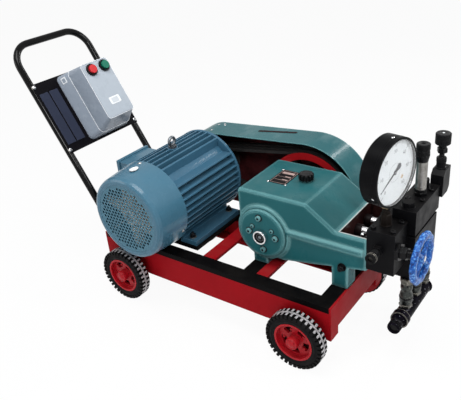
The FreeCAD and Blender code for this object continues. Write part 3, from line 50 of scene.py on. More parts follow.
CART_MID = -20.0
DECK_TOP = 170.0
MOTOR = Vector((-129, 0, 290))
MOTOR_FOOT_TOP = 192.0
COWL_RADIUS = 118.0
CRANK = Vector((186, -86, 262))
CASE_TOP = 367.0
WINDOW_REAR, WINDOW_NEAR, WINDOW_FAR, WINDOW_LEVEL = 386.0, -65.0, 105.0, 314.0
HEAD_TOP, VALVE_TOP = 343.0, 368.0
STOP_VALVE = Vector((518, -56, 297))
HANDWHEEL = Vector((571, -56, 297))
ADJUSTER = Vector((526, 167, 457))
RELIEF = Vector((510.5, 84, VALVE_TOP))
GAUGE = Vector((480.5, -35, 472))
GAUGE_TURN = math.radians(-9.6)
POINTER_TURN = -149.0
MANIFOLD = Vector((521, 0, 94))
LEAN = math.radians(30.54)
HANDLE_FOOT = Vector((-273.8, CART_MID, DECK_TOP))
HANDLE_HALF = 128.0
TUBE = 9.6
PANEL_FACE, BOX_SEAM, BOX_FACE = 11.0, 50.0, 108.0


def srgb(red, green, blue):
    """Linear colour of an sRGB colour given from 0 to 255."""
    def linear(value):
        value /= 255
        return value / 12.92 if value <= 0.04045 else ((value + 0.055) / 1.055) ** 2.4
    return (linear(red), linear(green), linear(blue), 1.0)


def shade(color, factor, lift=0.0):
    """The colour made darker or paler."""
    return tuple(min(1, part * factor + lift) for part in color[:3]) + (1,)


# Camera, lamps and floor


def camera():
    """Camera at the photograph's place, found from the object's own edges."""
    spot = (0.92231, -1.1305, 1.0372)
    right, up, back = (0.8095, 0.5814, -0.0822), (-0.2145, 0.4231, 0.8803), (0.5465, -0.6950, 0.4672)
    data = bpy.data.cameras.new("camera")
    data.sensor_fit = "HORIZONTAL"
    data.sensor_width = 36.0
    data.lens = 47.85
    data.clip_start = 0.05
    item = bpy.data.objects.new("camera", data)
    bpy.context.scene.collection.objects.link(item)
    item.matrix_world = Matrix.Translation(spot) @ Matrix((right, up, back)).transposed().to_4x4()
    bpy.context.scene.camera = item


def lamp(name, spot, size, power, aim=(0, 0, 0.25)):
    data = bpy.data.lights.new(name, "AREA")
    data.shape = "RECTANGLE"
    data.size, data.size_y = size
    data.energy = power
    item = bpy.data.objects.new(name, data)
    bpy.context.scene.collection.objects.link(item)
    item.location = spot
    item.rotation_euler = (Vector(aim) - Vector(spot)).to_track_quat("-Z", "Y").to_euler()


def plug(tree, value, socket):
    """Links a node's output to a socket, or sets a plain value on it."""
    if isinstance(value, bpy.types.NodeSocket):
        tree.links.new(value, socket)
    else:
        socket.default_value = value


def add_node(tree, kind, inputs=(), **settings):
    """Adds a node with its settings, and with values or links on its inputs."""
    node = tree.nodes.new(kind)
    for name, value in settings.items():
        setattr(node, name, value)
    for name, value in dict(inputs).items():
        plug(tree, value, node.inputs[name])
    return node


def mix_shaders(tree, share, first, second, end):
    """Shows a share of the second shader over the first one."""
    mix = add_node(tree, "ShaderNodeMixShader", {0: share, 1: first.outputs[0], 2: second.outputs[0]})
    plug(tree, mix.outputs[0], tree.nodes[end].inputs["Surface"])


def seen_directly(tree):
    """Is the ray from the camera, or from a mirror or glass that should show the white background."""
    path = add_node(tree, "ShaderNodeLightPath").outputs
    seen = path["Is Camera Ray"]
    for name in ("Is Glossy Ray", "Is Transmission Ray"):
        seen = add_node(tree, "ShaderNodeMath", {0: seen, 1: path[name]}, operation="MAXIMUM").outputs[0]
    return seen


def studio():
    """Soft lamps, a pale world and a pale floor that keeps the object's shadow."""
    scene = bpy.context.scene
    scene.view_settings.view_transform = "Standard"
    lamp("top_light", (0.1, -0.5, 2.3), (1.3, 0.9), 26)
    lamp("key_light", (1.6, -1.7, 2.1), (0.6, 0.6), 24)
    lamp("fill_light", (-1.8, -1.7, 1.0), (1.0, 1.0), 9)
    lamp("rim_light", (0.6, 1.85, 1.5), (0.14, 1.0), 9, (0.27, 0.18, 0.39))
    lamp("side_light", (1.9, 0.4, 1.9), (0.3, 0.9), 15, (-0.2, -0.1, 0.35))

    scene.world = bpy.data.worlds.new("studio")
    scene.world.use_nodes = True
    tree = scene.world.node_tree
    dim = tree.nodes["Background"]
    dim.inputs["Color"].default_value = (0.93, 0.96, 1.0, 1)
    dim.inputs["Strength"].default_value = 0.30
    bright = add_node(tree, "ShaderNodeBackground", {"Strength": 1.0})
    mix_shaders(tree, seen_directly(tree), dim, bright, "World Output")

    half, whiteness = 6, 0.94
    mesh = bpy.data.meshes.new("floor")
    mesh.from_pydata([(x, y, 0) for x, y in rectangle(-half, -half, half, half)], [], [(0, 1, 2, 3)])
    floor = bpy.data.objects.new("floor", mesh)
    scene.collection.objects.link(floor)
    paint = bpy.data.materials.new("floor")
    paint.use_nodes = True
    tree = paint.node_tree
    lit = tree.nodes["Principled BSDF"]
    lit.inputs["Base Color"].default_value = (0.9, 0.9, 0.9, 1)
    lit.inputs["Roughness"].default_value = 0.9
    white = add_node(tree, "ShaderNodeEmission")
    share = add_node(tree, "ShaderNodeMath", {0: seen_directly(tree), 1: whiteness}, operation="MULTIPLY")
    mix_shaders(tree, share.outputs[0], lit, white, "Material Output")
    mesh.materials.append(paint)


# Materials

MAT = {}


class Paint:
    """A node-based material built up over its Principled shader, and filed in MAT when it is done."""

    def __init__(self, name, color, rough=0.4, metal=0.0, coat=0.0, coat_rough=0.1, specular=0.5):
        self.name, self.color, self.rough = name, color, rough
        self.height = None
        self.normal = None
        self.item = bpy.data.materials.new(name)
        self.item.use_nodes = True
        self.tree = self.item.node_tree
        self.shader = self.tree.nodes["Principled BSDF"]
        self.set({"Metallic": metal, "Specular IOR Level": specular})
        self.set({"Coat Weight": coat, "Coat Roughness": coat_rough})
        self.spot = self.add("ShaderNodeTexCoord").outputs["Object"]

    def set(self, inputs):
        """Sets or links the shader's own sockets."""
        for name, value in inputs.items():
            plug(self.tree, value, self.shader.inputs[name])

    def add(self, kind, inputs=(), **settings):
        return add_node(self.tree, kind, inputs, **settings)

    def times(self, a, b):
        return self.add("ShaderNodeMath", {0: a, 1: b}, operation="MULTIPLY").outputs[0]

    def noise(self, scale, detail, stretch=(1, 1, 1), rough=0.5):
        spot = self.add("ShaderNodeMapping", {"Vector": self.spot, "Scale": stretch}).outputs[0]
        inputs = {"Vector": spot, "Scale": scale, "Detail": detail, "Roughness": rough}
        return self.add("ShaderNodeTexNoise", inputs).outputs["Fac"]

    def band(self, value, low, high, out_low=0.0, out_high=1.0):
        """Maps a value from one range to another, held at the ends."""
        inputs = {"Value": value, "From Min": low, "From Max": high, "To Min": out_low, "To Max": out_high}
        return self.add("ShaderNodeMapRange", inputs).outputs[0]

    def place(self):
        return self.add("ShaderNodeSeparateXYZ", {0: self.spot}).outputs

    def facing(self, direction):
        """Cosine between the surface's normal and a direction."""
        normal = self.add("ShaderNodeNewGeometry").outputs["Normal"]
        dot = self.add("ShaderNodeVectorMath", {0: normal, 1: direction}, operation="DOT_PRODUCT")
        return dot.outputs["Value"]

    def mix(self, share, color):
        """Mixes another colour over the present one."""
        inputs = {"Factor": share, "A": self.color, "B": color}
        self.color = self.add("ShaderNodeMix", inputs, data_type="RGBA").outputs["Result"]

    def stain(self, value, low, high, share, color):
        """Mixes in a share of a colour where the value goes from low to high."""
        self.mix(self.band(value, low, high, 0.0, share), color)

    def dirt(self, distance, share, color):
        """Mixes a colour into corners and gaps of about the given width, as painted shade."""
        hollow = self.add("ShaderNodeAmbientOcclusion", {"Distance": distance}, samples=4)
        self.stain(hollow.outputs["AO"], 0.85, 0.25, share, color)

    def dust(self, scale, share, color, start=0.55):
        """Mixes a colour into patches of the surfaces that face up."""
        level = self.band(self.facing(UP), start, 1.0)
        patches = self.band(self.noise(scale, 5.0), 0.35, 0.8)
        self.mix(self.times(self.times(level, patches), share), color)

    def edge(self, radius=0.0015, start=0.99, full=0.80):
        """Rounds the shading of the edges, and gives the share of an edge at each point."""
        self.normal = self.add("ShaderNodeBevel", {"Radius": radius}, samples=4).outputs[0]
        return self.band(self.facing(self.normal), start, full)

    def uneven(self, scale, detail, low, high, span=(0.3, 0.7)):
        """Lets the roughness wander between two values."""
        self.rough = self.band(self.noise(scale, detail), *span, low, high)

    def raise_by(self, value, amount):
        """Adds a height in metres to the bump."""
        part = self.times(value, amount)
        if self.height is not None:
            part = self.add("ShaderNodeMath", {0: self.height, 1: part}, operation="ADD").outputs[0]
        self.height = part

    def done(self):
        """Gives the shader its colour, roughness and relief."""
        if self.height is not None:
            bump = self.add("ShaderNodeBump", {"Strength": 1.0, "Distance": 1.0, "Height": self.height})
            if self.normal is not None:
                plug(self.tree, self.normal, bump.inputs["Normal"])
            self.normal = bump.outputs[0]
        self.set({"Base Color": self.color, "Roughness": self.rough})
        if self.normal is not None:
            self.set({"Normal": self.normal})
        MAT[self.name] = self.item


# Part of a noise's range in which the roughness of a paint or plastic changes
WIDE = (0.3, 0.75)
MOTOR_BLUE = srgb(68, 112, 134)
TEAL = srgb(36, 96, 101)


# line is the share of the painted highlight on edges; deep is the share of the painted shade in corners.
def enamel(name, color, rough, coat=0.0, cast=0.0, *, dust, wear=None, edge=0.0015, fade=0.16,
           specular=0.1, line=0.3, deep=0.55):
    """Sprayed paint: cloudy colour, orange peel, dust on top, painted shade in corners, and worn edges or
    pale edges that are a painted highlight.
    """
    paint = Paint(name, color, rough, coat=coat, coat_rough=0.12, specular=specular)
    paint.stain(paint.noise(7.0, 4.0), 0.35, 0.75, fade, shade(color, 0.45))
    paint.stain(paint.noise(160.0, 2.0), 0.62, 0.80, 0.18, shade(color, 1.6, 0.02))
    paint.dust(24.0, dust, srgb(190, 180, 165))
    # Painted shade in corners and gaps.
    paint.dirt(0.018, deep, shade(color, 0.25))
    corner = paint.edge(edge)
    if wear:
        chip = paint.times(corner, paint.band(paint.noise(60.0, 6.0, rough=0.7), 0.52, 0.62))
        paint.mix(paint.times(chip, 0.75), wear)
    else:
        # Pale edges: painted highlight.
        paint.mix(paint.times(corner, line), shade(color, 2.4, 0.03))
    paint.uneven(30.0, 5.0, rough - 0.07, rough + 0.14, WIDE)
    paint.raise_by(paint.noise(420.0, 2.0), 0.00004)
    if cast:
        paint.raise_by(paint.noise(95.0, 5.0, rough=0.65), cast)
    paint.done()


def bare_metal(name, color, rough, metal=1.0, grain=0.00002, stain=0.25):
    """Machined or plated metal with fine tool marks, faint stains and painted shade in corners."""
    paint = Paint(name, color, rough, metal)
    paint.stain(paint.noise(26.0, 5.0), 0.45, 0.8, stain, shade(color, 0.35))
    # Painted shade in corners and gaps.
    paint.dirt(0.010, 0.5, (0.02, 0.018, 0.015, 1))
    paint.edge(0.0008)
    paint.uneven(130.0, 4.0, rough - 0.08, rough + 0.16)
    paint.raise_by(paint.noise(900.0, 2.0), grain)
    paint.done()


def plastic(name, color, rough, coat=0.0, grime=0.2, specular=0.4):
    """Moulded plastic with a fine pebbled skin, handling marks, painted shade in corners and a painted
    highlight on its edges.
    """
    paint = Paint(name, color, rough, coat=coat, specular=specular)
    paint.stain(paint.noise(9.0, 5.0), 0.45, 0.8, grime, shade(color, 0.6))
    # Painted shade in corners and gaps.
    paint.dirt(0.012, 0.4, shade(color, 0.3))
    # Pale edges: painted highlight.
    paint.mix(paint.times(paint.edge(0.0016), 0.25), shade(color, 1.5, 0.04))
    paint.uneven(45.0, 5.0, rough - 0.05, rough + 0.12, WIDE)
    paint.raise_by(paint.noise(1100.0, 2.0), 0.00002)
    paint.done()


def oily_metal(name, dark, bright):
    """Oiled metal, mostly dark, with bright rubbed flecks and edges, and painted shade in corners."""
    paint = Paint(name, dark, metal=0.8)
    flecks = paint.noise(120.0, 6.0, rough=0.7)
    paint.stain(flecks, 0.57, 0.66, 1.0, bright)
    paint.stain(flecks, 0.46, 0.38, 0.8, (0.012, 0.012, 0.014, 1))
    paint.mix(paint.times(paint.edge(0.0012), 0.6), bright)
    # Painted shade in corners and gaps.
    paint.dirt(0.010, 0.7, (0.008, 0.008, 0.010, 1))
    paint.uneven(60.0, 4.0, 0.24, 0.45)
    paint.raise_by(paint.noise(180.0, 5.0, rough=0.65), 0.0006)
    paint.done()


def gauge_glass():
    """Clear flat glass that lets lamp light through to the dial."""
    paint = Paint("glass", (0.985, 0.995, 1.0, 1))
    paint.set({"Transmission Weight": 1.0, "IOR": 1.45})
    paint.uneven(14.0, 4.0, 0.02, 0.08, (0.4, 0.8))
    clear = paint.add("ShaderNodeBsdfTransparent")
    shadow = paint.add("ShaderNodeLightPath").outputs["Is Shadow Ray"]
    mix_shaders(paint.tree, shadow, paint.shader, clear, "Material Output")
    paint.done()


def crankcase_paint():
    """Teal casting paint, with painted shade in corners, a painted highlight along its edges, and oily brown
    primer inside the plunger window.
    """
    paint = Paint("teal_cast", TEAL, coat=0.05, specular=0.06)
    paint.stain(paint.noise(6.0, 4.0), 0.35, 0.75, 0.3, shade(TEAL, 0.5))
    paint.dust(20.0, 0.05, srgb(190, 200, 190), 0.5)
    # Painted shade in corners and gaps.
    paint.dirt(0.03, 0.6, shade(TEAL, 0.2))
    # Pale edges: painted highlight.
    paint.mix(paint.times(paint.edge(0.012, 0.995, 0.90), 0.8), srgb(150, 208, 210))
    x, y, z = paint.place()
    back, top, floor = (x, 0.3845, 0.3860), (z, 0.3135, 0.3125), (z, 0.2525, 0.2535)
    near, far = (y, -0.0665, -0.0655), (y, 0.1065, 0.1055)
    inside = 1.0
    for value, low, high in (back, top, floor, near, far):
        inside = paint.times(paint.band(value, low, high), inside)
    oil = paint.band(paint.noise(28.0, 6.0, rough=0.7), 0.4, 0.7)
    paint.mix(inside, srgb(66, 38, 36))
    paint.mix(paint.times(inside, paint.times(oil, 0.9)), srgb(18, 12, 12))
    paint.uneven(24.0, 5.0, 0.24, 0.42, WIDE)
    paint.raise_by(paint.noise(60.0, 5.0, rough=0.6), 0.0005)
    paint.raise_by(paint.noise(420.0, 2.0), 0.00006)
    paint.done()


def guard_paint():
    """Teal sheet paint with a painted highlight along its edges; the inner face of the back plate is painted
    dark red-brown as painted shade and a painted reflection of the red pulley, with darker patches of belt
    dust.
    """
    paint = Paint("guard", srgb(46, 99, 104), coat=0.14, specular=0.06)
    paint.stain(paint.noise(4.0, 3.0), 0.35, 0.68, 0.75, srgb(36, 84, 90))
    paint.stain(paint.noise(9.0, 5.0, (1, 0.4, 1), 0.6), 0.55, 0.72, 0.35, srgb(132, 156, 158))
    # Pale edges: painted highlight.
    paint.mix(paint.times(paint.edge(0.0045, 0.997, 0.88), 0.7), srgb(150, 206, 208))
    facing_near = paint.band(paint.facing(FAR), -0.4, -0.6)
    inside = paint.times(facing_near, paint.band(paint.place()[1], 0.2200, 0.2220))
    grime = paint.band(paint.noise(14.0, 6.0, rough=0.65), 0.35, 0.7)
    # Dark red-brown inner face: painted shade and painted reflection of the red pulley.
    paint.mix(inside, srgb(92, 40, 42))
    paint.mix(paint.times(inside, grime), srgb(34, 18, 20))
    paint.uneven(24.0, 5.0, 0.2, 0.38, WIDE)
    paint.raise_by(paint.noise(9.0, 3.0), 0.0016)
    paint.raise_by(paint.noise(420.0, 2.0), 0.00004)
    paint.done()


def pulley_paint():
    """Bright red face; the grooves behind it are painted near black."""
    paint = Paint("pulley", srgb(170, 24, 30), rough=0.34, coat=0.1, specular=0.1)
    paint.stain(paint.noise(12.0, 5.0), 0.4, 0.75, 0.3, srgb(110, 14, 18))
    # The grooves behind the face are painted near black.
    paint.stain(paint.place()[1], 0.1455, 0.1470, 1.0, srgb(14, 12, 12))
    paint.edge()
    paint.raise_by(paint.noise(80.0, 5.0, rough=0.65), 0.0004)
    paint.done()


def rubber_skin(paint, grain=0.00005, scale=600.0, stretch=(1, 1, 1), edge=0.0008):
    """Finishes a rubber with its grain and softened edges."""
    paint.edge(edge)
    paint.raise_by(paint.noise(scale, 3.0, stretch), grain)
    paint.done()


def rubbers():
    """Black tread, the pale lug finish that is a painted highlight with scuffs in it, the plug in the gauge's
    back and the belts; tread and plug get painted shade in corners.
    """
    tread = Paint("tread", srgb(19, 18, 19), specular=0.06)
    tread.stain(tread.noise(40.0, 6.0, rough=0.7), 0.5, 0.8, 0.3, srgb(52, 45, 44))
    # Painted shade in corners and gaps.
    tread.dirt(0.006, 0.7, (0.004, 0.004, 0.004, 1))
    tread.uneven(70.0, 4.0, 0.4, 0.65)
    rubber_skin(tread)
    # Pale lug finish: painted highlight, with darker scuffs.
    lug = Paint("lug", srgb(176, 174, 176), rough=0.38, specular=0.4)
    lug.stain(lug.noise(55.0, 6.0, rough=0.7), 0.45, 0.72, 0.7, srgb(84, 80, 80))
    rubber_skin(lug)
    back = Paint("rubber", srgb(24, 23, 24), specular=0.4)
    back.stain(back.noise(34.0, 6.0, rough=0.7), 0.5, 0.8, 0.25, srgb(120, 112, 102))
    # Painted shade in corners and gaps.
    back.dirt(0.012, 0.5, (0.006, 0.006, 0.006, 1))
    back.uneven(60.0, 4.0, 0.48, 0.72)
    rubber_skin(back, 0.00004, 700.0, edge=0.0009)
    belt = Paint("belt", srgb(28, 27, 27), rough=0.65)
    belt.stain(belt.noise(50.0, 5.0), 0.45, 0.8, 0.3, srgb(80, 72, 66))
    rubber_skin(belt, 0.0001, 500.0, (1, 0.2, 1))


def brushed_tube():
    """Bright steel scored round its length, with dull stains."""
    paint = Paint("brushed", (0.36, 0.35, 0.33, 1), metal=1.0)
    scores = (0.1, 0.1, 1)
    paint.stain(paint.noise(70.0, 6.0, (1, 1, 0.5), 0.7), 0.42, 0.7, 0.75, (0.13, 0.12, 0.11, 1))
    paint.stain(paint.noise(500.0, 2.0, scores), 0.4, 0.7, 0.4, (0.22, 0.21, 0.2, 1))
    paint.edge(0.0008)
    paint.uneven(60.0, 4.0, 0.3, 0.5)
    paint.raise_by(paint.noise(700.0, 2.0, scores), 0.00008)
    paint.done()


def handwheel_paint():
    """Thick blue enamel over a coarse casting, with painted highlights on its raised lumps and painted shade
    in its pits and corners.
    """
    paint = Paint("wheel_blue", srgb(26, 92, 178), coat=0.15, specular=0.22)
    pits = paint.noise(150.0, 4.0, rough=0.65)
    # Pale raised lumps: painted highlight.
    paint.stain(pits, 0.54, 0.63, 0.9, srgb(118, 182, 238))
    # Dark pits: painted shade.
    paint.stain(pits, 0.47, 0.38, 0.9, srgb(8, 34, 92))
    # Painted shade in corners and gaps.
    paint.dirt(0.012, 0.5, srgb(6, 20, 60))
    paint.uneven(60.0, 4.0, 0.2, 0.42)
    paint.raise_by(pits, 0.0022)
    paint.done()


def handle_black():
    """Smooth black enamel, polished by hands, with a faint cloud in it."""
    paint = Paint("handle", srgb(5, 5, 6), specular=0.16)
    paint.stain(paint.noise(12.0, 4.0), 0.5, 0.8, 0.5, srgb(14, 14, 15))
    paint.edge(0.001)
    paint.uneven(18.0, 3.0, 0.09, 0.13, (0.4, 0.8))
    paint.done()


def oily_black():
    """Thick black paint, wet with oil, with small painted glints."""
    paint = Paint("oily", srgb(10, 9, 14), specular=0.02)
    paint.stain(paint.noise(30.0, 5.0), 0.45, 0.75, 0.6, srgb(34, 30, 44))
    # Small pale flecks: painted glints.
    paint.stain(paint.noise(150.0, 3.0, rough=0.55), 0.645, 0.69, 0.85, srgb(190, 190, 200))
    paint.edge(0.001)
    paint.uneven(50.0, 4.0, 0.14, 0.34)
    paint.raise_by(paint.noise(120.0, 4.0, rough=0.6), 0.0009)
    paint.done()


def box_plastic():
    """Grey moulded plastic whose raised face is painted paler than its sides as painted light, with painted
    highlights along its edges and painted shade in corners.
    """
    paint = Paint("box", srgb(146, 156, 169), coat=0.1, specular=0.2)
    paint.stain(paint.noise(9.0, 5.0), 0.45, 0.8, 0.14, srgb(112, 122, 136))
    # Outward face paler by its facing: painted light.
    paint.stain(paint.facing((math.cos(LEAN), 0, math.sin(LEAN))), 0.95, 0.995, 0.55, srgb(190, 198, 205))
    paint.stain(paint.noise(46.0, 4.0), 0.55, 0.75, 0.25, srgb(186, 196, 206))
    # Pale edges: painted highlight.
    paint.mix(paint.times(paint.edge(0.0028), 0.75), srgb(228, 233, 238))
    # Painted shade in corners and gaps.
    paint.dirt(0.012, 0.4, srgb(70, 76, 86))
    paint.uneven(45.0, 5.0, 0.22, 0.4, WIDE)
    paint.raise_by(paint.noise(1100.0, 2.0), 0.00002)
    paint.done()


def enamels():
    enamel("red", srgb(160, 18, 27), 0.36, dust=0.04, wear=srgb(88, 20, 20), fade=0.4, specular=0.03)
    enamel("wheel_red", srgb(176, 20, 32), 0.3, 0.08, cast=0.0003, dust=0.04, fade=0.35, specular=0.12)
    enamel("wheel_shadow", srgb(58, 10, 12), 0.5, dust=0.02, fade=0.4)
    enamel("black", srgb(11, 10, 11), 0.4, dust=0.01, wear=srgb(36, 33, 33), specular=0.03)
    enamel("panel", srgb(9, 8, 13), 0.4, dust=0.01, specular=0.05)
    enamel("strip", srgb(46, 51, 68), 0.5, dust=0.02, fade=0.3, specular=0.08)
    enamel("blue", MOTOR_BLUE, 0.24, 0.22, cast=0.00012, dust=0.04, fade=0.25, specular=0.2, line=0.5)
    enamel("blue_cast", srgb(60, 102, 126), 0.34, 0.1, cast=0.0004, dust=0.04, fade=0.35, specular=0.12,
           line=0.7, deep=0.3)
    enamel("grille", srgb(84, 124, 142), 0.4, dust=0.03, fade=0.2, edge=0.0004)
    enamel("teal", TEAL, 0.26, 0.2, dust=0.04, edge=0.002, fade=0.2)
    enamel("dark_steel", srgb(15, 15, 17), 0.26, dust=0.01, edge=0.001, fade=0.2, specular=0.14, line=0.35)
    enamel("block", srgb(17, 17, 19), 0.4, dust=0.02, edge=0.0012, fade=0.35, specular=0.06, line=0.45)
    enamel("plate", srgb(15, 11, 13), 0.35, fade=0.1, dust=0.0, specular=0.06)
    enamel("gauge_black", srgb(9, 9, 11), 0.34, dust=0.0, edge=0.001, specular=0.05)
    enamel("grimy", srgb(26, 18, 18), 0.3, cast=0.0002, dust=0.0, fade=0.5)
    enamel("umber", srgb(32, 27, 24), 0.4, dust=0.02, edge=0.001, fade=0.3, specular=0.06)


def metals():
    bare_metal("steel", (0.50, 0.50, 0.49, 1), 0.3)
    bare_metal("chrome", (0.74, 0.74, 0.75, 1), 0.14, stain=0.3)
    bare_metal("dull", (0.2, 0.22, 0.24, 1), 0.35, stain=0.4)
    bare_metal("zinc", (0.30, 0.29, 0.26, 1), 0.42, stain=0.5, grain=0.00006)
    bare_metal("cast_iron", (0.06, 0.055, 0.055, 1), 0.55, 0.6, 0.0001)
    bare_metal("brass", (0.42, 0.33, 0.20, 1), 0.4, stain=0.45)
    bare_metal("plate_edge", (0.50, 0.36, 0.33, 1), 0.5, 0.5, stain=0.5)
    bare_metal("machined", (0.66, 0.68, 0.66, 1), 0.4, 0.6)
    oily_metal("union", (0.045, 0.05, 0.047, 1), (0.17, 0.17, 0.15, 1))
    oily_metal("union_nut", (0.11, 0.105, 0.09, 1), (0.52, 0.49, 0.43, 1))


def plastics():
    # Near white: a painted highlight on the box's seam and face rim, and also the frame of the side label.
    plastic("seam", srgb(232, 236, 240), 0.3, grime=0.08, specular=0.2)
    plastic("label", srgb(236, 239, 241), 0.25, grime=0.08, specular=0.2)
    plastic("label_face", srgb(206, 211, 216), 0.3, grime=0.1, specular=0.2)
    plastic("red_button", srgb(200, 44, 50), 0.2, 0.3, 0.1, 0.2)
    plastic("green_button", srgb(14, 112, 88), 0.2, 0.3, 0.1, 0.2)
    plastic("black_plastic", srgb(15, 15, 17), 0.3, grime=0.3, specular=0.16)
    plastic("dial", srgb(226, 230, 232), 0.5, grime=0.03, specular=0.2)
    plastic("ink", srgb(52, 60, 74), 0.5, specular=0.1)
    plastic("needle", srgb(20, 24, 34), 0.4, specular=0.1)
    plastic("amber", srgb(206, 178, 140), 0.5, specular=0.1)
    # Near black: painted shade standing for screw sockets and cross slots.
    plastic("socket", srgb(5, 5, 6), 0.6, grime=0.1, specular=0.05)
    # Dark brown: painted shade for the guard's slot and round the cover bolts.
    plastic("slot", srgb(40, 28, 29), 0.6, grime=0.5, specular=0.05)
    # Near white: paler than the real fan, painted light for the shade behind the grille.
    plastic("fan_grey", srgb(250, 242, 228), 0.5, grime=0.3, specular=0.2)
    plastic("sight", srgb(10, 9, 10), 0.14, specular=0.12)


NODE_PAINT = {
    "red": ("side_rail_near", "side_rail_far", "front_beam", "rear_beam", "red_cross_bars"),
    "black": ("deck_frame", "motor_base"),
    "handle": ("handle",),
    "panel": ("handle_panel",),
    "box": ("starter_box",),
    "red_button": ("stop_button",),
    "green_button": ("start_button",),
    "blue": ("fan_cowl", "cowl_grille", "terminal_box"),
    "blue_cast": ("motor_frame", "drive_end_shield"),
    "dull": ("lifting_eye",),
    "steel": ("front_axle", "rear_axle", "motor_rotor", "relief_valve"),
    "chrome": ("sight_glass", "plungers"),
    "brass": ("gauge_fitting",),
    "cast_iron": ("motor_pulley",),
    "pulley": ("pump_pulley",),
    "belt": ("drive_belts",),
    "guard": ("belt_guard",),
    "teal_cast": ("crankcase", "bearing_cover"),
    "block": ("head_block", "valve_block", "lower_block", "adjusting_valve"),
    "dark_steel": ("stop_valve_bonnet", "adjusting_knob"),
    "black_plastic": ("oil_filler_cap",),
    "gauge_black": ("gauge_case",),
    "glass": ("gauge_glass",),
    "needle": ("gauge_pointer",),
    "wheel_blue": ("handwheel",),
    "oily": ("suction_manifold",),
    "wheel_red": tuple(f"{end}_wheel_{side}_hub" for end in ("front", "rear") for side in ("near", "far")),
    "tread": tuple(f"{end}_wheel_{side}_tyre" for end in ("front", "rear") for side in ("near", "far")),
}


def paint_nodes():
    """Gives each CAD node its finish."""
    for key, names in NODE_PAINT.items():
        for name in names:
            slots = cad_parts[name].data.materials
            if not slots:
                slots.append(MAT[key])
            for index in range(len(slots)):
                slots[index] = MAT[key]


# Mesh building


def axes(spot, z_axis, x_axis=None):
    """A frame at a spot in millimetres, with its z axis along z_axis."""
    z_axis = Vector(z_axis).normalized()
    if x_axis is None:
        x_axis = UP if abs(z_axis.z) < 0.9 else AHEAD
    x_axis = Vector(x_axis)
    x_axis = (x_axis - z_axis * z_axis.dot(x_axis)).normalized()
    turn = Matrix((x_axis, z_axis.cross(x_axis), z_axis)).transposed().to_4x4()
    return Matrix.Translation(spot) @ turn


def moved(at, x=0.0, y=0.0, z=0.0):
    """The frame moved along its own axes."""
    return at @ Matrix.Translation((x, y, z))


def spun(at, degrees):
    """The frame turned about its own z axis."""
    return at @ Matrix.Rotation(math.radians(degrees), 4, "Z")


def polar(radius, degrees):
    """Point at a radius and an angle."""
    return radius * math.cos(math.radians(degrees)), radius * math.sin(math.radians(degrees))


def spread(at, radius, height, angles):
    """Frames set round the frame's z axis, all turned as it is."""
    return [moved(at, *polar(radius, angle), height) for angle in angles]


def circle(radius, count):
    """Points round a circle, or the corners of a regular outline."""
    return [polar(radius, 360 * i / count) for i in range(count)]


def helix(at, radius, start, rise, turns, steps):
    """Points of a screw line about the frame's z axis."""
    last = turns * steps
    return [at @ Vector((*polar(radius, 360 * i / steps), start + rise * i / last)) for i in range(last + 1)]


def rectangle(x0, y0, x1, y1):
    return [(x0, y0), (x1, y0), (x1, y1), (x0, y1)]


def rounded(x0, y0, x1, y1, radius, count=6):
    """Outline of a rectangle with round corners."""
    points = []
    for x, y, start in ((x1, y1, 0), (x0, y1, 90), (x0, y0, 180), (x1, y0, 270)):
        middle_x = x - math.copysign(radius, x - (x0 + x1) / 2)
        middle_y = y - math.copysign(radius, y - (y0 + y1) / 2)
        for i in range(count + 1):
            out_x, out_y = polar(radius, start + 90 * i / count)
            points.append((middle_x + out_x, middle_y + out_y))
    return points


